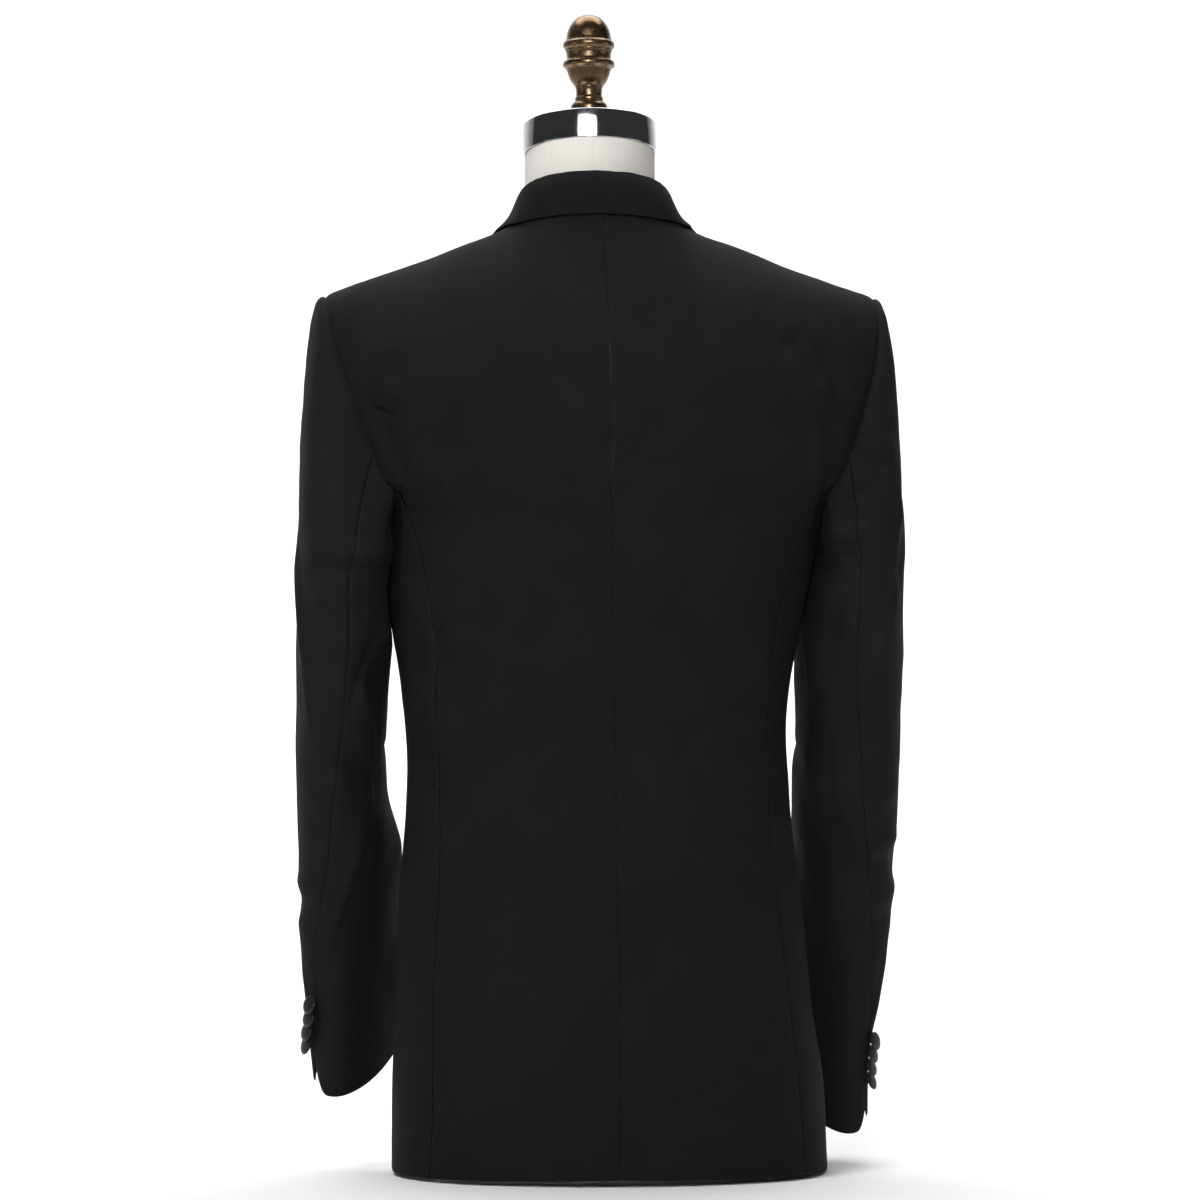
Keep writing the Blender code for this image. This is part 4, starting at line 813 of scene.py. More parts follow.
# The two seams, as shares of the way round from the outside of the arm: back first, then front.
SLEEVE_SEAMS = Table(
    ("down", "hindarm", "forearm"),
    (0.0, 0.30, 0.66),
    (1.0, 0.29, 0.66),
    (1.5, 0.25, 0.67),
    (2.0, 0.185, 0.68),
)
SLEEVE_ROUND = 0.34      # length round the sleeve that the shares stand for
# Folds of the sleeves in millimetres, with the shares of the way round (outside, back, inside) in
# hundredths.
SLEEVE_FOLDS = {
    LEFT: (
        # from share, from height, to share, to height, half width, depth
        (40, 482, 40, 422, 22, 8.8),
        (52, 500, 52, 420, 18, 2.2),
        (59, 250, 59, 150, 18, 4.4),
        (18, 470, 34, 470, 8, -4.2),
        (17, 488, 34, 486, 10, 3.2),
        (37, 418, 31, 372, 6, -2.8),
        (7, 470, 15, 372, 5, 2),
        (18, 400, 38, 384, 17, -4.5),
        (34, 390, 38, 325, 12, 3.5),
        (25, 318, 44, 308, 10, -4),
        (6, 460, 26, 325, 14, 2.8),
        (40, 300, 27, 185, 10, 2.6),
        (8, 214, 26, 202, 10, -2.4),
        (26, 160, 22, 115, 14, -2.6),
        (62, 440, 88, 418, 14, -3.6),
        (64, 352, 86, 370, 12, -4),
        (66, 328, 90, 336, 13, 2.8),
        (70, 250, 86, 232, 12, -2.4),
        (20, 452, 36, 440, 6, 1.4),
        (22, 424, 34, 414, 5, -1.3),
        (30, 352, 42, 344, 5, 1.4),
        (20, 296, 40, 286, 6, 1.6),
        (22, 272, 36, 258, 5, -1.2),
        (10, 228, 28, 220, 5, 1.4),
        (12, 196, 24, 184, 5, 1.2),
        (30, 240, 24, 150, 6, -1.2),
        (14, 150, 20, 96, 7, 1.3),
        (66, 396, 84, 386, 6, 1.4),
        (68, 300, 88, 292, 6, -1.4),
        (50, 330, 62, 350, 7, -1.6),
    ),
    RIGHT: (
        (39, 300, 39, 280, 16, 2.5),
        (39, 520, 39, 445, 20, 5),
        (20, 553, 30, 557, 6, -4.2),
        (18, 568, 29, 573, 9, 3.6),
        (21, 537, 31, 522, 14, -5.2),
        (27, 506, 34, 500, 8, 3),
        (32, 480, 40, 470, 9, -3),
        (14, 516, 19, 448, 6, 2.6),
        (19, 448, 27, 378, 6, 2.6),
        (28, 486, 44, 478, 12, -3.5),
        (3, 520, 25, 385, 13, 3.4),
        (46, 430, 31, 285, 11, 3.8),
        (36, 420, 42, 340, 11, -3.6),
        (12, 246, 28, 236, 11, -3),
        (10, 222, 24, 214, 10, 2),
        (62, 452, 86, 430, 14, -3.8),
        (66, 350, 90, 362, 12, -4),
        (66, 324, 88, 330, 13, 2.8),
        (72, 240, 88, 226, 12, -2.4),
        (14, 512, 30, 506, 6, 1.5),
        (16, 470, 34, 456, 6, -1.4),
        (32, 412, 44, 380, 5, 1.4),
        (34, 372, 44, 350, 5, 1.4),
        (22, 340, 36, 318, 6, -1.4),
        (14, 300, 30, 276, 6, 1.4),
        (12, 262, 24, 254, 5, 1.3),
        (14, 206, 26, 192, 6, -1.3),
        (16, 160, 20, 100, 7, 1.3),
        (64, 400, 84, 388, 6, 1.4),
        (68, 296, 88, 286, 6, -1.4),
        (50, 320, 62, 344, 7, -1.6),
    ),
}
CUFF_NOTCH = 0.016       # the corners of the cuff vent are cut back this far
VENT_WIDTH, VENT_RISE = 0.013, 0.036
CROWN_FULLNESS = 0.0012  # the eased cloth stands this proud over the shoulder
CROWN_DOWN, CROWN_WIDTH = 0.10, 0.07  # how far down it does so, and over what width
PUCKER_SHARE, PUCKER_PITCH = 0.25, 0.016  # its small waves along the seam
FOLDS_START = 0.35       # the sleeve's folds are whole from this far down its head
# Round the armhole the sleeve's cloth is turned into the body behind the seam.
SEAM_ALLOWANCE = 0.006
ALLOWANCE_DEPTH, ALLOWANCE_WALL = 0.0015, 0.0006
ARMHOLE_MIDDLE = np.array((0.0, 0.0, 0.595))
ARMHOLE_STEPS = 160      # along the back's share of it, and along the front's


def armhole_corner(side, face):
    return panel_edges(side, ARMHOLE_CORNER, face)[1], ARMHOLE_CORNER


def armhole(side):
    """Dense points round the armhole: tip of the shoulder, down the back, underarm, up the front."""
    corner = place_on_panel(side, *armhole_corner(side, "back"), "back")[1]
    back = folded_panel(side, np.ones(ARMHOLE_STEPS), np.linspace(2, corner, ARMHOLE_STEPS), "back")
    under = side_body(side, np.linspace(0, 1, 81), np.ones(81))
    corner = place_on_panel(side, *armhole_corner(side, "front"), "front")[1]
    front = folded_panel(side, np.ones(ARMHOLE_STEPS), np.linspace(corner, 2, ARMHOLE_STEPS), "front")
    return np.concatenate((back[:-1], under[:41])), np.concatenate((under[40:], front[1:]))


def along_line(points, share):
    """Points at shares of the length of a line of points."""
    step = np.linalg.norm(np.diff(points, axis=0), axis=1)
    run = np.concatenate(((0,), np.cumsum(step))) / step.sum()
    return np.stack([np.interp(share, run, points[:, k]) for k in range(3)], -1)


ARMHOLES = {side: armhole(side) for _, side in SIDES}


def armhole_point(side, around):
    """Point of the armhole at a share of the way round, 0 at the shoulder tip and 0.5 under the arm."""
    around = around % 1
    behind, before = ARMHOLES[side]
    on_back = along_line(behind, np.clip(around * 2, 0, 1))
    on_front = along_line(before, np.clip(around * 2 - 1, 0, 1))
    return np.where((around < 0.5)[..., None], on_back, on_front)


def rounded_power(value, roundness):
    """A sine or cosine on a superellipse of this roundness."""
    return np.sign(value) * np.abs(value) ** (2 / roundness)


def sleeve_section(side, around, height):
    """Point of the sleeve on the section at a height; the section itself slopes with its pitch."""
    rows = SLEEVES[side]
    angle = TURN * around
    across = rows.at("across", height) * rounded_power(np.cos(angle), SLEEVE_ROUNDNESS)
    deep = rows.at("deep", height) * rounded_power(np.sin(angle), SLEEVE_ROUNDNESS)
    turned = np.radians(rows.at("turned", height))
    out = across * np.cos(turned) + deep * np.sin(turned)
    back = deep * np.cos(turned) - across * np.sin(turned)
    rise = -np.tan(np.radians(rows.at("pitch", height))) * back
    x = side * (rows.at("out", height) + out)
    return np.stack((x, back - rows.at("forward", height), height + rise), -1)


def bare_sleeve(side, around, down):
    """Point of the sleeve: down 0 to 1 from the armhole to the first section, and on to 2 at the cuff."""
    first, last = SLEEVES[side].places[-1], SLEEVES[side].places[0]
    over = (1 + np.cos(TURN * around)) / 2
    start = armhole_point(side, around)
    start[..., 0] += side * SEAM_GAP * (1 + 1.2 * (1 - over) ** 2)
    end = sleeve_section(side, around, np.full(np.shape(around), first))
    length = np.linalg.norm(end - start, axis=-1)
    lead = length * (0.62 - 0.36 * over)
    leave = np.stack((side * (0.12 + 0.88 * over**2), 0.22 * np.sin(TURN * around), -1 + 0.97 * over**2), -1)
    leave *= (lead / np.linalg.norm(leave, axis=-1))[..., None]
    arrive = np.zeros_like(leave)
    arrive[..., 2] = -length * 0.9
    t = np.clip(down, 0, 1)[..., None]
    head = (1 + 2 * t) * (1 - t) ** 2 * start + t * (1 - t) ** 2 * leave
    head += t * t * (3 - 2 * t) * end + t * t * (t - 1) * arrive
    height = first + (last - first) * np.clip(down - 1, 0, 1)
    return np.where((down <= 1)[..., None], head, sleeve_section(side, around, height))


def sleeve_fold_height(side, around, height):
    folds = np.array(SLEEVE_FOLDS[side]) / 1000
    folds[:, (0, 2)] *= 10 * SLEEVE_ROUND
    return fold_height((around % 1) * SLEEVE_ROUND, height, folds)


def sleeve_axis(side, around, down):
    """The middle of the sleeve beside each point, to tell the outside from the inside."""
    return (bare_sleeve(side, around, down) + bare_sleeve(side, around + 0.5, down)) / 2


def sleeve_skin(side, around, down, lift):
    """Points of the folded sleeve, moved out by lift."""
    around, down = np.broadcast_arrays(around, down)

    def bare(u, v):
        return bare_sleeve(side, u, v)
    axis = sleeve_axis(side, around, down)
    normal = outward(bare, around, np.clip(down, 0.012, 1.99), axis)
    point = bare(around, down)
    past_seam = np.clip(down / FOLDS_START, 0, 1)
    over = np.clip(np.cos(TURN * around), 0, 1)
    fullness = CROWN_FULLNESS * over * np.exp(-(((down - CROWN_DOWN) / CROWN_WIDTH) ** 2))
    fullness = fullness + PUCKER_SHARE * fullness * np.sin(TURN * around * SLEEVE_ROUND / PUCKER_PITCH)
    swell = cloth_swell(point) * np.clip(down / 0.1, 0, 1)
    relief = sleeve_fold_height(side, around, point[..., 2]) * past_seam + fullness + swell
    return point + normal * (relief + lift)[..., None]


def seam_shares(kind, down):
    """The shares at which a piece of the sleeve starts and ends, just inside its two seams."""
    behind, before = SLEEVE_SEAMS.at("hindarm", down), SLEEVE_SEAMS.at("forearm", down)
    start, end = (before - 1, behind) if kind == "top_sleeve" else (behind, before)
    return start + SLEEVE_GAP, end - SLEEVE_GAP


# The body's worsted again, painted warmer and lighter: painted light on the sleeves, not a different cloth.
SLEEVE_WORSTED_PAINTED_LIGHT = make_worsted("sleeve_worsted_painted_light", (0.0070, 0.0068, 0.0061), (0.0117, 0.0113, 0.0103))
SLEEVE_LENGTH = 0.60
HEAD_SHARE = 0.36        # share of that length above the sleeve's first section
SLEEVE_DOWNS = np.interp(fine_places(SLEEVE_LENGTH, UP_STEP), (0, HEAD_SHARE, 1), (0, 1, 2))
SLEEVE_GAP = SEAM_GAP / SLEEVE_ROUND
SLEEVE_PIECES = (
    # name, width of the cut, whether the vent is on its last column
    ("top_sleeve", 0.21, True),
    ("under_sleeve", 0.15, False),
)

for name, side in SIDES:
    for kind, width, vent_last in SLEEVE_PIECES:
        share, down = np.meshgrid(fine_places(width, UP_STEP), SLEEVE_DOWNS)
        start, end = seam_shares(kind, down)
        around = start + share * (end - start)
        grid = sleeve_skin(side, around, down, 0)
        across, up = runs(grid)
        from_vent = across[:, -1:] - across if vent_last else across
        from_cuff = up[-1:] - up
        cut_back = np.clip(1 - from_vent / VENT_WIDTH, 0, 1) ** 2 * np.clip(1 - from_cuff / VENT_RISE, 0, 1)
        grid[..., 2] += CUFF_NOTCH * cut_back
        outer, inner = tailored(grid, sleeve_axis(side, around, down), CLOTH)
        to_hollow = ARMHOLE_MIDDLE - grid[0]
        to_hollow[:, 0] = 0
        to_hollow /= np.linalg.norm(to_hollow, axis=-1, keepdims=True)
        turned_in = grid[0] + to_hollow * ALLOWANCE_DEPTH
        into_body = turned_in - np.array((side * SEAM_ALLOWANCE, 0, 0))
        allowance = np.stack((into_body, turned_in))
        outer = np.concatenate((allowance, outer))
        inner = np.concatenate((allowance + to_hollow * ALLOWANCE_WALL, inner))
        piece = add_shell(f"{kind}_cloth_{name}", outer, inner, SLEEVE_WORSTED_PAINTED_LIGHT)
        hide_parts(f"{kind}_{name}")

# ================================================================ cuff buttons
# Four covered buttons over each vent, each a domed metal shell drawn over with silk and sewn on by a shank
# of thread. They overlap like roof tiles, so each leans on the next one down.
BUTTON_RADIUS = 0.0075
BUTTON_PITCH = 0.0102
BUTTON_TILT = math.radians(24)
BUTTON_SEAT = 0.0006     # a shank's end over the cloth
BUTTON_INSET = 0.012     # from the vent's seam, as a share of the way round the sleeve
BUTTONS_PER_CUFF = 4
FIRST_BUTTON = 0.030     # the lowest button above the cuff's edge
# A covered button: shank, flat back with its tucked-in rim, rounded edge and low dome.
BUTTON_PROFILE = (
    # share of the radius, height
    (0.00, 0.00000),
    (0.16, 0.00000),
    (0.20, 0.00040),
    (0.18, 0.00160),
    (0.20, 0.00300),
    (0.30, 0.00322),
    (0.62, 0.00330),
    (0.70, 0.00318),
    (0.88, 0.00340),
    (0.96, 0.00382),
    (1.00, 0.00440),
    (0.97, 0.00496),
    (0.90, 0.00538),
    (0.78, 0.00572),
    (0.60, 0.00600),
    (0.36, 0.00620),
    (0.14, 0.00629),
    (0.00, 0.00630),
)


def frame_at(point, normal, up):
    """A placement with its Z along normal and its Y as near as can be to up."""
    z = Vector(normal).normalized()
    x = Vector(up).cross(z).normalized()
    y = z.cross(x)
    turn = Matrix((x, y, z)).transposed().to_4x4()
    return Matrix.Translation(Vector(point)) @ turn


def ring_faces(index):
    """Faces between rings of points. Each row of index numbers the points of a ring."""
    following = np.roll(index, -1, axis=1)
    return np.stack((index[:-1], following[:-1], following[1:], index[1:]), -1).reshape(-1, 4)


def add_turned(name, profile, sides, finish, place=Matrix.Identity(4)):
    """A closed turned piece. profile lists (radius, height) from its lower to its upper end on the axis."""
    profile = np.array(profile)
    run = np.concatenate(((0,), np.linalg.norm(np.diff(profile, axis=0), axis=1).cumsum()))
    angle = TURN * np.arange(sides) / sides
    radius, height = profile[1:-1].T
    rings = np.stack((
        radius[:, None] * np.cos(angle),
        radius[:, None] * np.sin(angle),
        np.broadcast_to(height[:, None], (len(height), sides)),
    ), -1).reshape(-1, 3)
    points = np.concatenate(((0, 0, profile[0, 1]), rings.ravel(), (0, 0, profile[-1, 1]))).reshape(-1, 3)
    last = len(points) - 1
    index = np.arange(1, last).reshape(-1, sides)
    low_end, high_end = np.full(sides, 0), np.full(sides, last)
    faces = ring_faces(index).tolist()
    faces += np.stack((low_end, np.roll(index[0], -1), index[0]), -1).tolist()
    faces += np.stack((high_end, index[-1], np.roll(index[-1], -1)), -1).tolist()
    around = np.broadcast_to(angle * radius.max(), (len(radius), sides)).ravel()
    up = np.repeat(run[1:-1], sides)
    places = np.stack((np.concatenate(((0,), around, (0,))), np.concatenate(((0,), up, run[-1:]))), -1)
    turn = np.array(place)
    points = points @ turn[:3, :3].T + turn[:3, 3]
    return add_mesh(name, points, faces, places, finish)


def make_button_silk():
    """The same silk drawn tight over a button, where it has no straight grain to follow."""
    made, tree, shader = new_material(
        "button_silk", Sheen_Weight=0.02, Sheen_Roughness=0.30, Specular_IOR_Level=0.30
    )
    solid = object_place(tree)
    weave = use_group(tree, WEAVE, Place=solid, Threads_per_metre=1700.0, Slant=0.25)
    mottle = use_group(tree, MOTTLE, Place=solid, Size=0.006)["Mask"]
    feed(
        tree,
        shader,
        Base_Color=blend_colours(tree, mottle, (0.0040, 0.0040, 0.0044), (0.0085, 0.0085, 0.0090)),
        Roughness=ranged(tree, mottle, 0.30, 0.46),
        Normal=bump(tree, weave["Height"], 0.5, 0.00010),
    )
    return made


BUTTON_SILK = make_button_silk()

for name, side in SIDES:
    length = SLEEVES[side].places[-1] - SLEEVES[side].places[0]
    for k in range(BUTTONS_PER_CUFF):
        down = np.array([2 - (FIRST_BUTTON + k * BUTTON_PITCH) / length])
        around = SLEEVE_SEAMS.at("hindarm", down) - BUTTON_INSET
        seat = sleeve_skin(side, around, down, BUTTON_SEAT)[0]
        above = sleeve_skin(side, around, down - 0.02, BUTTON_SEAT)[0]
        out = sleeve_skin(side, around, down, BUTTON_SEAT + 0.01)[0] - seat
        place = frame_at(seat, out, above - seat) @ Matrix.Rotation(-BUTTON_TILT, 4, "X")
        profile = [(BUTTON_RADIUS * share, height) for share, height in BUTTON_PROFILE]
        button = add_turned(f"covered_button_{name}_{k + 1}", profile, 48, BUTTON_SILK, place)
        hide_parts(f"cuff_button_{name}_{k + 1}")

# ================================================================ collar
# The collar is one folded piece of worsted over melton: a stand round the neck and a fall over the back
# neckline. It meets the lapels at the gorge.
COLLAR_WALL = 0.0018
COLLAR_STAND_OFF = 0.0013
# Half the collar, from the centre back (0) to the gorge (1): its folded top edge, the fall's lower edge on
# the back (up to the shoulder line) and the front, and how far the fall is rounded out between them.
COLLAR = Table(
    ("along", "fold_x", "fold_y", "fold_z", "edge_x", "edge_z", "bulge"),
    (0.00, 0.0000, 0.0640, 0.7770, 0.0000, 0.7435, 0.0030),
    (0.20, 0.0215, 0.0605, 0.7760, 0.0240, 0.7425, 0.0030),
    (0.40, 0.0410, 0.0470, 0.7725, 0.0450, 0.7400, 0.0022),
    (0.55, 0.0520, 0.0280, 0.7665, 0.0605, 0.7378, 0.0006),
    (0.66, 0.0558, 0.0060, 0.7580, 0.0735, 0.7350, -0.0014),
    (0.78, 0.0600, -0.0180, 0.7430, 0.0880, 0.7190, -0.0004),
    (0.90, 0.0625, -0.0420, 0.7180, 0.0980, 0.6900, 0.0014),
    (1.00, 0.0615, -0.0665, 0.6890, 0.1050, 0.6610, 0.0024),
)
SHOULDER_STATION = 0.66
GORGE_HEIGHT = 0.6880    # where the stand's base meets the roll line
NECK_MIDDLE_Y = 0.004
STAND_INSET = 0.0044     # from the neckline in to the middle of the stand's wall
STAND_DROP = 0.0015      # its bottom edge lies this far below the neckline
FOLD_WIDTH = 0.0046      # from the stand's wall to the fall's at the fold
FOLD_DROP = 0.0022       # both walls start this far below the folded edge
# The collar sits a little to the wearer's left: its fold this much, its lower edge that much.
FOLD_ASIDE, EDGE_ASIDE = 0.0045, 0.0018
COLLAR_LINE_POINTS = 46
FALL_ROUNDING = ((0.35, 0.9), (0.70, 0.8))  # how far down the fall, and the share of its bulge there


def collar_base(side, along):
    """Bottom edge of the stand, just inside the neckline."""
    behind = np.clip(along / SHOULDER_STATION, 0, 1)
    share = np.sin(behind * math.pi / 2) * NECK_POINT / SHOULDER_TIP
    on_back = bare_panel(side, share, np.full(np.shape(along), 2.0), "back")
    before = np.clip((along - SHOULDER_STATION) / (1 - SHOULDER_STATION), 0, 1)
    height = NECK_HEIGHT + (GORGE_HEIGHT - NECK_HEIGHT) * before
    inner = panel_edges(side, height, "front")[0]
    share, rise = place_on_panel(side, inner, height, "front")
    on_front = bare_panel(side, share, rise, "front")
    base = np.where((along <= SHOULDER_STATION)[..., None], on_back, on_front)
    towards_neck = np.stack((-base[..., 0], NECK_MIDDLE_Y - base[..., 1], np.zeros(np.shape(along))), -1)
    towards_neck /= np.linalg.norm(towards_neck, axis=-1, keepdims=True)
    return base + towards_neck * STAND_INSET + np.array((0, 0, -STAND_DROP))


def aside(along, size):
    """The collar's shift to the wearer's left, which dies out towards the gorge."""
    return size * np.clip(1 - (along / 0.9) ** 2, 0, 1)


def collar_edge(side, along):
    """Lower edge of the fall, lying on the back, over the shoulder line and on the front."""
    x, height = side * COLLAR.at("edge_x", along), COLLAR.at("edge_z", along)
    x = x + BODY.at("centre", height) * np.clip(along / SHOULDER_STATION, 0, 1)
    x = x + aside(along, EDGE_ASIDE)
    lift = COLLAR_STAND_OFF + COLLAR_WALL / 2
    points = []
    for face in ("back", "front"):
        share, rise = place_on_panel(side, x, height, face)
        points.append(lifted_panel(side, share, rise, face, lift))
    return np.where((along <= SHOULDER_STATION)[..., None], *points)


def collar_line(side, along):
    """Middle of the collar's wall at each station: up the stand, over the fold and down the fall."""
    base, edge = collar_base(side, along), collar_edge(side, along)
    fold = np.stack([COLLAR.at("fold_" + axis, along) for axis in "xyz"], -1)
    fold[..., 0] = side * fold[..., 0] + BODY.at("centre", fold[..., 2]) + aside(along, FOLD_ASIDE)
    out = fold - np.array((0, NECK_MIDDLE_Y, 0))
    out[..., 2] = 0
    out /= np.linalg.norm(out, axis=-1, keepdims=True)
    down = np.array((0, 0, -1.0))
    inside = fold + down * FOLD_DROP
    outside = fold + out * FOLD_WIDTH + down * FOLD_DROP
    bulge = (out - down * 0.7) * COLLAR.at("bulge", along)[..., None]
    corners = np.stack((
        base,
        (base + inside) / 2,
        inside,
        fold + out * FOLD_WIDTH / 2,
        outside,
        *(outside + (edge - outside) * down_fall + bulge * rounding for down_fall, rounding in FALL_ROUNDING),
        edge,
    ), 1)
    return np.stack([rounded(line, COLLAR_LINE_POINTS) for line in corners])


def rounded(corners, count):
    """A smooth line of points through the corners, read off their length."""
    run = np.concatenate(((0,), np.linalg.norm(np.diff(corners, axis=0), axis=1).cumsum()))
    line = Table(("run", "x", "y", "z"), *np.column_stack((run, corners)).tolist())
    places = fine_places(run[-1], run[-1] / (count - 10)) * run[-1]
    return np.stack([line.at(axis, places) for axis in "xyz"], -1)


COLLAR_HALF = 0.16       # from the centre back to the gorge
COLLAR_STATIONS = np.concatenate((np.linspace(0, 0.97, 74), 1 - EDGE_STEPS[::-1] / COLLAR_HALF))

left_half = collar_line(LEFT, COLLAR_STATIONS)
right_half = collar_line(RIGHT, COLLAR_STATIONS)
middle = np.concatenate((right_half[:0:-1], left_half))
normal = np.cross(np.gradient(middle, axis=0), np.gradient(middle, axis=1))
normal /= np.linalg.norm(normal, axis=-1, keepdims=True)
half_wall = normal * (COLLAR_WALL / 2 - UNDER_ROLL * edge_roll(middle))[..., None]
collar = add_shell("collar_cloth", middle + half_wall, middle - half_wall, BODY_WORSTED)
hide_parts("collar")

# ================================================================ front button and pocket mouths
# A larger covered button closes the front. The breast pocket's mouth is a slanting welt of worsted, and
# each hip pocket shows only its silk jetting.
FRONT_BUTTON_RADIUS = 0.0110
FRONT_BUTTON_INSET = 0.018  # from the left front's edge
POCKET_WALL = 0.0012
POCKET_STAND_OFF = 0.0009
SLIT_DEPTH, SLIT_WIDTH = 0.0004, 0.08  # the groove between the two lips of a jetting, its width as a share
POCKETS = (
    # name, CAD node, side, inner x, height there, outer x, height there, depth of the mouth, slot
    ("breast_welt_cloth", "breast_welt", LEFT, 0.058, 0.474, 0.136, 0.486, 0.022, "wool"),
    ("pocket_jetting_left", "pocket_jet_left", LEFT, 0.060, 0.232, 0.112, 0.226, 0.011, "silk"),
    ("pocket_jetting_right", "pocket_jet_right", RIGHT, 0.060, 0.232, 0.112, 0.226, 0.011, "silk"),
)

x = panel_edges(LEFT, np.array([BUTTON_POINT]), "front")[0] + FRONT_BUTTON_INSET
share, rise = place_on_panel(LEFT, x, np.array([BUTTON_POINT]), "front")
seat = front_skin(LEFT, share, rise, BUTTON_SEAT)[0]
out = front_skin(LEFT, share, rise, BUTTON_SEAT + 0.01)[0] - seat
profile = [(FRONT_BUTTON_RADIUS * share, height) for share, height in BUTTON_PROFILE]
front_button = add_turned("front_covered_button", profile, 64, BUTTON_SILK, frame_at(seat, out, (0, 0, 1)))
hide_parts("front_button")

for name, node, side, x0, z0, x1, z1, tall, slot in POCKETS:
    across, up = np.meshgrid(fine_places(x1 - x0, 0.0020), fine_places(tall, 0.0012) - 0.5)
    height = z0 + (z1 - z0) * across + up * tall
    x = BODY.at("centre", height) + side * (x0 + (x1 - x0) * across)
    share, rise = place_on_panel(side, x, height, "front")
    slit = SLIT_DEPTH * np.exp(-((up / SLIT_WIDTH) ** 2)) if slot == "silk" else 0.0
    grid = front_skin(side, share, rise, POCKET_STAND_OFF + POCKET_WALL - slit)
    outer, inner = tailored(grid, BODY_AXIS, POCKET_WALL)
    pocket = add_shell(name, outer, inner, SILK if slot == "silk" else BODY_WORSTED)
    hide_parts(node)

# ================================================================ dress form
# The form's torso is a padded shell, whole and limbless, covered with natural linen that is seamed down the
# middle and the sides. It stands on its flat underside and ends at the neck on a slope.
FORM = Table(
    ("height", "half_width", "back", "front", "squareness"),
    (0.000, 0.1490, 0.106, 0.102, 2.2),
    (0.060, 0.1490, 0.108, 0.104, 2.2),
    (0.135, 0.1455, 0.108, 0.104, 2.2),
    (0.213, 0.1410, 0.100, 0.102, 2.2),
    (0.283, 0.1370, 0.091, 0.100, 2.2),
    (0.330, 0.1360, 0.088, 0.100, 2.2),
    (0.377, 0.1390, 0.092, 0.102, 2.2),
    (0.447, 0.1490, 0.105, 0.107, 2.2),
    (0.510, 0.1570, 0.115, 0.109, 2.2),
    (0.560, 0.1650, 0.118, 0.106, 2.2),
    (0.600, 0.1720, 0.115, 0.096, 2.2),
    (0.635, 0.1790, 0.107, 0.084, 2.1),
    (0.660, 0.1810, 0.098, 0.071, 2.0),
    (0.678, 0.1780, 0.088, 0.060, 2.0),
    (0.6905, 0.1700, 0.081, 0.053, 2.0),
    (0.6983, 0.1580, 0.076, 0.048, 2.0),
    (0.7075, 0.1240, 0.070, 0.043, 2.0),
    (0.7160, 0.0930, 0.066, 0.041, 2.0),
    (0.724, 0.0715, 0.061, 0.041, 2.0),
    (0.733, 0.0585, 0.056, 0.041, 2.0),
    (0.745, 0.0525, 0.053, 0.043, 2.0),
    (0.765, 0.0508, 0.052, 0.047, 2.0),
    (0.7935, 0.0505, 0.051, 0.051, 2.0),
)
CAP_TILT = math.radians(12.2)
NECK_X, NECK_Y = 0.0056, 0.004
NECK_TOP, NECK_SLOPE_FROM = 0.7935, 0.765
FORM_SIDES = 160
FORM_SEAM_DEPTH, FORM_SEAM_WIDTH = 0.0006, 0.0022
SEAM_RADIUS, LINEN_RADIUS = 0.12, 0.13  # round the form, for the width of its seams and the map of its linen
# The form follows the jacket's centre line over the chest and its own at the neck: from a height, over a
# length.
CHEST_FROM, CHEST_OVER = 0.30, 0.20
NECK_FROM, NECK_OVER = 0.68, 0.06


def make_linen():
    """Natural linen, undyed: a plain weave of uneven yarns, greyed a little where it is handled."""
    made, tree, shader = new_material(
        "form_linen", Sheen_Weight=0.12, Sheen_Roughness=0.5, Specular_IOR_Level=0.25
    )
    weave = use_group(tree, WEAVE, Place=flat_place(tree), Threads_per_metre=900.0, Slant=0.0)
    mottle = use_group(tree, MOTTLE, Place=object_place(tree), Size=0.060)["Mask"]
    yarn = blend_colours(tree, weave["Yarn"], (0.52, 0.495, 0.465), (0.66, 0.635, 0.605))
    dark = ranged(tree, combine(tree, "MULTIPLY", mottle, weave["Height"]), 0.0, 0.55)
    feed(
        tree,
        shader,
        Base_Color=blend_colours(tree, dark, yarn, (0.52, 0.495, 0.46)),
        Roughness=ranged(tree, weave["Height"], 0.82, 0.94),
        Normal=bump(tree, weave["Height"], 0.7, 0.00018),
    )
    return made


heights = np.unique(np.concatenate((FORM.places, np.linspace(0, 0.66, 90), np.linspace(0.66, NECK_TOP, 60))))
angle = TURN * np.arange(FORM_SIDES) / FORM_SIDES
angle, height = np.meshgrid(angle, heights)
squareness = FORM.at("squareness", height)
depth = np.where(np.sin(angle) > 0, FORM.at("back", height), FORM.at("front", height))
from_seam = np.abs((angle / (TURN / 4) + 0.5) % 1 - 0.5) * (TURN / 4) * SEAM_RADIUS
groove = FORM_SEAM_DEPTH * np.exp(-((from_seam / FORM_SEAM_WIDTH) ** 2))
x = (FORM.at("half_width", height) - groove) * rounded_power(np.cos(angle), squareness)
y = (depth - groove) * rounded_power(np.sin(angle), squareness)
at_neck = np.clip((height - NECK_FROM) / NECK_OVER, 0, 1)
at_chest = np.clip((height - CHEST_FROM) / CHEST_OVER, 0, 1) * (1 - at_neck)
x = x + BODY.at("centre", height) * at_chest + NECK_X * at_neck
slope = math.tan(CAP_TILT) * np.clip((height - NECK_SLOPE_FROM) / (NECK_TOP - NECK_SLOPE_FROM), 0, 1)
rings = np.stack((x, y + NECK_Y * at_neck, height + slope * y), -1)
index = np.arange(rings.size // 3).reshape(-1, FORM_SIDES)
faces = ring_faces(index).tolist() + [index[0, ::-1].tolist(), index[-1].tolist()]
places = np.stack((angle * LINEN_RADIUS, height), -1).reshape(-1, 2)
torso = add_mesh("form_linen_torso", rings.reshape(-1, 3), faces, places, make_linen())
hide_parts("form_torso")

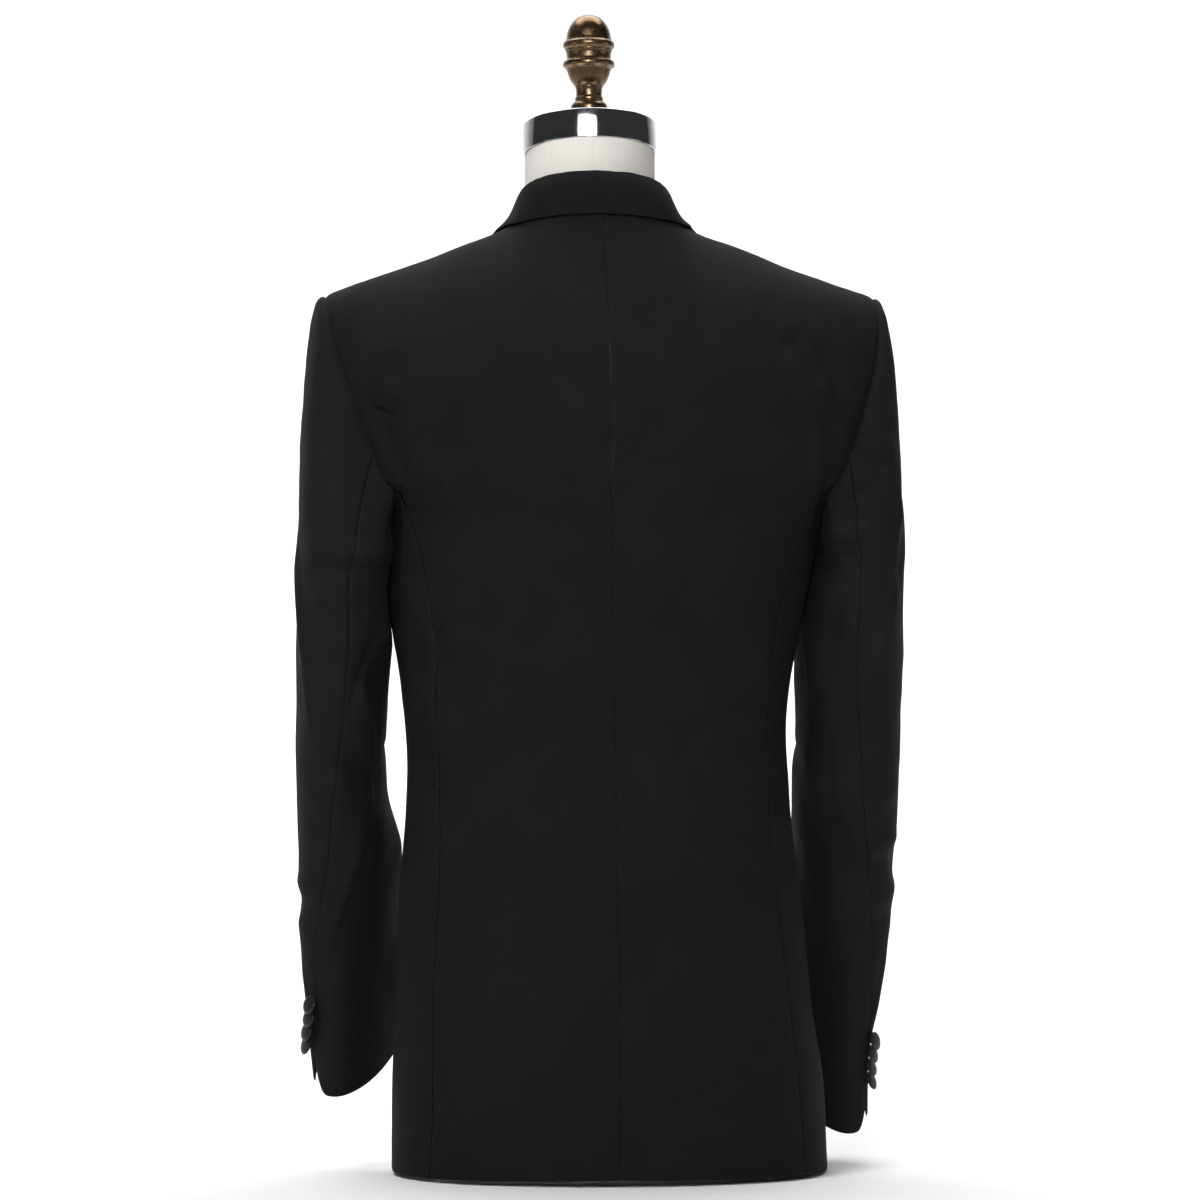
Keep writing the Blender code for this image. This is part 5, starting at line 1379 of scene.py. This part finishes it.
# ================================================================ neck cap
# A spun steel cap, chromed and polished, pressed over the top of the form's neck at the slope of its cut.
CAP_RADIUS = 0.0522
CAP_HEIGHT = 0.0234
CAP_BEVEL = 0.0012
CAP_EDGE = 0.004         # the flat ends are drawn this far in from the rim
CAP_SEAT = Vector((NECK_X, NECK_Y, NECK_TOP + SEAM_GAP))
CAP_PLACE = Matrix.Translation(CAP_SEAT) @ Matrix.Rotation(CAP_TILT, 4, "X")
BEVEL_STEPS = 6


def rounded_corner(radius, height, bevel, lower):
    """Points of a quarter round at a cap's rim, from its lower end up."""
    turn = np.linspace(0, math.pi / 2, BEVEL_STEPS)
    if lower:
        return [(radius - bevel * (1 - math.sin(a)), height + bevel * (1 - math.cos(a))) for a in turn]
    return [(radius - bevel * (1 - math.cos(a)), height - bevel * (1 - math.sin(a))) for a in turn]


def make_chrome():
    """Polished chrome with a faint haze of wiping marks."""
    made, tree, shader = new_material("polished_chrome", Metallic=1.0)
    wiped = stretched(tree, object_place(tree), (1.0, 1.0, 14.0))
    mottle = use_group(tree, MOTTLE, Place=wiped, Size=0.05)["Mask"]
    feed(
        tree,
        shader,
        Base_Color=blend_colours(tree, mottle, (0.56, 0.58, 0.60), (0.64, 0.66, 0.68)),
        Roughness=ranged(tree, mottle, 0.05, 0.12),
    )
    return made


cap_profile = [(0.0, 0.0), (CAP_RADIUS - CAP_EDGE, 0.0)]
cap_profile += rounded_corner(CAP_RADIUS, 0.0, CAP_BEVEL / 2, lower=True)
cap_profile += rounded_corner(CAP_RADIUS, CAP_HEIGHT, CAP_BEVEL, lower=False)
cap_profile += [(CAP_RADIUS - CAP_EDGE, CAP_HEIGHT), (0.0, CAP_HEIGHT)]
cap = add_turned("chrome_neck_cap", cap_profile, 144, make_chrome(), CAP_PLACE)
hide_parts("form_neck_cap")

# ================================================================ finial
# A turned finial of cast bronze, its lacquer worn: foot, stem, cup, two beads and a domed top. Its foot is
# cut to the cap's slope, so that it stands nearly upright.
FINIAL_TILT = math.radians(5)
FINIAL_PROFILE = (
    # radius, height
    (0.0000, 0.0000),
    (0.0146, 0.0000),
    (0.0146, 0.0125),
    (0.0145, 0.0146),
    (0.0139, 0.0162),
    (0.0127, 0.0178),
    (0.0112, 0.0186),
    (0.0106, 0.0192),
    (0.0110, 0.0200),
    (0.0110, 0.0216),
    (0.0103, 0.0224),
    (0.0100, 0.0240),
    (0.0101, 0.0285),
    (0.0108, 0.0294),
    (0.0108, 0.0308),
    (0.0118, 0.0316),
    (0.0136, 0.0340),
    (0.0153, 0.0374),
    (0.0164, 0.0408),
    (0.0172, 0.0436),
    (0.0180, 0.0449),
    (0.0196, 0.0458),
    (0.0204, 0.0472),
    (0.0203, 0.0490),
    (0.0195, 0.0505),
    (0.0180, 0.0514),
    (0.0173, 0.0522),
    (0.0173, 0.0560),
    (0.0178, 0.0578),
    (0.0183, 0.0587),
    (0.0183, 0.0598),
    (0.0196, 0.0608),
    (0.0202, 0.0622),
    (0.0202, 0.0642),
    (0.0195, 0.0656),
    (0.0184, 0.0664),
    (0.0181, 0.0676),
    (0.0176, 0.0686),
    (0.0174, 0.0702),
    (0.0166, 0.0742),
    (0.0153, 0.0776),
    (0.0130, 0.0812),
    (0.0098, 0.0846),
    (0.0054, 0.0868),
    (0.0018, 0.0875),
    (0.0000, 0.0876),
)
FOOT_HEIGHT = FINIAL_PROFILE[2][1]
CORNER_CUTS = 2


def softened(profile):
    """The turned line with its corners cut twice, as wear rounds them."""
    line = np.array(profile)
    for _ in range(CORNER_CUTS):
        first = line[:-1] * 0.75 + line[1:] * 0.25
        second = line[:-1] * 0.25 + line[1:] * 0.75
        line = np.concatenate((line[:1], np.stack((first, second), 1).reshape(-1, 2)[1:-1], line[-1:]))
    return line


def make_bronze():
    """Aged bronze: brown-gold where it is rubbed, darker patina in the hollows, small casting pits."""
    made, tree, shader = new_material(
        "aged_bronze", Specular_IOR_Level=0.5, Coat_Weight=0.2, Coat_Roughness=0.20
    )
    solid = object_place(tree)
    broad = use_group(tree, MOTTLE, Place=solid, Size=0.010)["Mask"]
    fine = use_group(tree, MOTTLE, Place=solid, Size=0.0022)["Mask"]
    patina = combine(tree, "MULTIPLY", broad, fine)
    feed(
        tree,
        shader,
        Base_Color=blend_colours(tree, patina, (0.165, 0.100, 0.048), (0.038, 0.022, 0.011)),
        Roughness=ranged(tree, patina, 0.20, 0.52),
        Metallic=ranged(tree, patina, 1.0, 0.55),
        Normal=bump(tree, fine, 0.22, 0.0003),
    )
    return made


cap_top = CAP_PLACE @ Vector((0, 0, CAP_HEIGHT + SEAM_GAP))
finial = add_turned("bronze_finial", softened(FINIAL_PROFILE), 96, make_bronze())
foot_slope = math.tan(CAP_TILT - FINIAL_TILT)
for vertex in finial.data.vertices:
    vertex.co.z += foot_slope * vertex.co.y * max(0, 1 - vertex.co.z / FOOT_HEIGHT)
finial.data.transform(Matrix.Translation(cap_top) @ Matrix.Rotation(FINIAL_TILT, 4, "X"))
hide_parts("form_finial")

# ================================================================ hand sewing
# Small pick stitches of black silk thread run along the edges of both lapels. The left lapel has a
# buttonhole worked in the same thread.
STITCH_LENGTH = 0.0016
STITCH_PITCH = 0.0042
STITCH_INSET = 0.0024    # from the edge
THREAD = 0.00022         # its radius
STITCH_SIDES, STITCH_RINGS = 6, 5
STITCH_TAPER = 0.96      # 1 would draw a thread's ends out to points
LAPEL_RISE = 0.24        # from a lapel's foot to its gorge
SEWN_RISES = np.linspace(0.12, 0.985, 220)  # the stitched part of the outer edge, as shares up the lapel
SEWN_SHARES = np.linspace(0.97, 0.02, 90)  # and of the top edge, as shares across it
CHEST_TURN = 3.0         # how fast the chest turns outward, away from the middle
HOLE_FROM, HOLE_TO = (0.66, 0.86), (0.90, 0.895)  # the buttonhole's ends, as shares across and up the lapel
HOLE_OUT = np.array((0.45, -0.89, 0.05))
HOLE_PITCH, HOLE_HALF_WIDTH = 0.00075, 0.0008
HOLE_STITCH, HOLE_THREAD = 0.0017, 0.00030


def make_thread():
    """Black silk twist, a little brighter than the cloth it lies in."""
    made, tree, shader = new_material("silk_thread", Sheen_Weight=0.1, Specular_IOR_Level=0.5)
    twist = use_group(tree, WEAVE, Place=object_place(tree), Threads_per_metre=3000.0, Slant=1.0)["Height"]
    feed(
        tree,
        shader,
        Base_Color=blend_colours(tree, twist, (0.010, 0.010, 0.012), (0.028, 0.028, 0.032)),
        Roughness=ranged(tree, twist, 0.40, 0.60),
    )
    return made


SILK_THREAD = make_thread()


def add_stitches(name, starts, ends, lift, length, thread):
    """Short threads that bow over the cloth, one midway between each start and its end."""
    along = ends - starts
    along /= np.linalg.norm(along, axis=1, keepdims=True)
    aside = np.cross(lift, along)
    place = np.linspace(-1, 1, STITCH_RINGS)[:, None]
    around = TURN * np.arange(STITCH_SIDES) / STITCH_SIDES
    thick = thread * np.sqrt(np.maximum(1 - (place * STITCH_TAPER) ** 2, 0))
    bow = thread * 0.5 * (1 - place**2)
    rings = ((starts + ends) / 2)[:, None, None]
    for direction, size in (
        (along, place * length / 2),
        (aside, thick * np.cos(around)),
        (lift, thick * np.sin(around) + bow),
    ):
        rings = rings + direction[:, None, None] * size[..., None]
    faces = []
    for index in np.arange(rings.size // 3).reshape(-1, STITCH_RINGS, STITCH_SIDES):
        faces += ring_faces(index).tolist() + [index[0, ::-1].tolist(), index[-1].tolist()]
    one = np.stack(np.broadcast_arrays(around * thread, place * length), -1).reshape(-1, 2)
    return add_mesh(name, rings.reshape(-1, 3), faces, np.tile(one, (len(starts), 1)), SILK_THREAD)


def evenly(line, pitch):
    """Points one pitch apart along a line of points."""
    length = np.linalg.norm(np.diff(line, axis=0), axis=1).sum()
    return along_line(line, np.linspace(0.01, 0.99, max(int(length / pitch), 2)))


for name, side in SIDES:
    inset = 1 - STITCH_INSET / LAPEL.at("width", LAPEL_FOOT[side] + SEWN_RISES * LAPEL_RISE)
    edge = lapel_point(side, inset, SEWN_RISES, LAPEL_TOP_LIFT)
    top_rise = np.full(SEWN_SHARES.shape, 1 - STITCH_INSET / LAPEL_RISE)
    top = lapel_point(side, SEWN_SHARES, top_rise, LAPEL_TOP_LIFT)
    seats = evenly(np.concatenate((edge, top)), STITCH_PITCH)
    out = np.array((0.0, -1.0, 0.0)) + seats * np.array((CHEST_TURN, 0.0, 0.0))
    out /= np.linalg.norm(out, axis=1, keepdims=True)
    stitches = add_stitches(
        "lapel_pick_stitches_" + name, seats[:-1], seats[1:], (out[:-1] + out[1:]) / 2, STITCH_LENGTH, THREAD
    )
    if side == LEFT:
        share, rise = np.linspace(HOLE_FROM, HOLE_TO, 60).T
        hole = lapel_point(side, share, rise, LAPEL_TOP_LIFT)
        along = (hole[-1] - hole[0]) / np.linalg.norm(hole[-1] - hole[0])
        across = np.cross(HOLE_OUT, along) * HOLE_HALF_WIDTH
        seats = evenly(hole, HOLE_PITCH)
        lift = np.broadcast_to(HOLE_OUT, seats.shape)
        buttonhole = add_stitches(
            "lapel_buttonhole", seats - across, seats + across, lift, HOLE_STITCH, HOLE_THREAD
        )

# ================================================================ stage
# A pale seamless floor that sweeps up into a backdrop, soft boxes over and beside it, and the camera behind
# the jacket, a little towards the wearer's left.
SWEEP_WIDTH, SWEEP_FRONT, SWEEP_BACK = 9.0, 6.5, -2.6
SWEEP_ROUND, SWEEP_TOP, SWEEP_STEPS = 1.2, 4.2, 25
VIEW_DISTANCE, VIEW_TURN = 5.0, math.radians(5)
VIEW_HEIGHT, VIEW_ASIDE = 0.447, 0.0027
FOCAL_PIXELS, PHOTO_PIXELS = 6410, 1200
WORLD_LIGHT = 0.04       # what the room adds all round, while the camera sees it plain white
LIGHTS = (
    # name, place, aim, width, height, watts, spread in degrees, whether polished parts mirror it
    ("key", (0.60, 3.7, 2.20), (0.0, 0.0, 0.95), 2.2, 1.9, 8.0, 52, True),
    ("window", (0.34, 3.9, 1.65), (0.0, 0.0, 0.85), 0.4, 1.5, 5.0, 52, True),
    ("left_key", (1.7, 2.3, 3.4), (0.0, 0.0, 0.95), 1.1, 1.1, 9.5, 50, False),
    ("left_fill", (3.2, 0.9, 0.75), (0.0, 0.0, 0.55), 1.6, 0.9, 5, 180, True),
    ("right_fill", (-3.2, 0.7, 0.75), (0.0, 0.0, 0.55), 1.6, 0.9, 6, 180, True),
    ("overhead", (0.0, -1.3, 3.5), (0.0, -1.3, 0.0), 4.0, 2.4, 145, 180, True),
)

sweep = [(SWEEP_FRONT, 0.0)]
for a in np.linspace(0, math.pi / 2, SWEEP_STEPS):
    sweep.append((SWEEP_BACK + SWEEP_ROUND * (1 - math.sin(a)), SWEEP_ROUND * (1 - math.cos(a))))
sweep.append((SWEEP_BACK, SWEEP_TOP))
points = [(x, y, z) for y, z in sweep for x in (-SWEEP_WIDTH / 2, SWEEP_WIDTH / 2)]
faces = [(2 * k + 1, 2 * k, 2 * k + 2, 2 * k + 3) for k in range(len(sweep) - 1)]
paper = bpy.data.meshes.new("paper_sweep")
paper.from_pydata(points, [], faces)
paper.shade_smooth()
floor = add_object("paper_sweep", paper)
pale, tree, shader = new_material("pale_paper", Roughness=0.95, Specular_IOR_Level=0.1)
mottle = use_group(tree, MOTTLE, Place=object_place(tree), Size=0.8)["Mask"]
behind = add_node(tree, "ShaderNodeNewGeometry").outputs["Backfacing"]
feed(
    tree,
    shader,
    Base_Color=blend_colours(tree, mottle, (0.86, 0.86, 0.86), (0.88, 0.88, 0.88)),
    Alpha=ranged(tree, behind, 1.0, 0.0),
)
paper.materials.append(pale)

for name, place, aim, width, height, watts, spread, mirrored in LIGHTS:
    light = bpy.data.lights.new(name, "AREA")
    light.shape = "RECTANGLE"
    light.size, light.size_y, light.energy = width, height, watts
    light.spread = math.radians(spread)
    lamp = add_object(name, light)
    lamp.location = place
    lamp.visible_glossy = mirrored
    lamp.visible_camera = False
    lamp.rotation_euler = (Vector(aim) - Vector(place)).to_track_quat("-Z", "Y").to_euler()

world = bpy.data.worlds.new("studio")
world.use_nodes = True
background = world.node_tree.nodes["Background"]
background.inputs["Color"].default_value = (1.0, 1.0, 1.0, 1)
seen = add_node(world.node_tree, "ShaderNodeLightPath").outputs["Is Camera Ray"]
feed(world.node_tree, background, Strength=ranged(world.node_tree, seen, WORLD_LIGHT, 1.0))
bpy.context.scene.world = world
bpy.context.scene.view_settings.view_transform = "Standard"

lens = bpy.data.cameras.new("camera")
lens.sensor_width = 36.0
lens.lens = FOCAL_PIXELS / PHOTO_PIXELS * lens.sensor_width
lens.clip_end = 50.0
camera = add_object("camera", lens)
looking = Vector((-math.sin(VIEW_TURN), -math.cos(VIEW_TURN), 0))
image_right = Vector((-math.cos(VIEW_TURN), math.sin(VIEW_TURN), 0))
camera.location = -looking * VIEW_DISTANCE + image_right * VIEW_ASIDE + Vector((0, 0, VIEW_HEIGHT))
camera.rotation_euler = looking.to_track_quat("-Z", "Y").to_euler()
bpy.context.scene.camera = camera
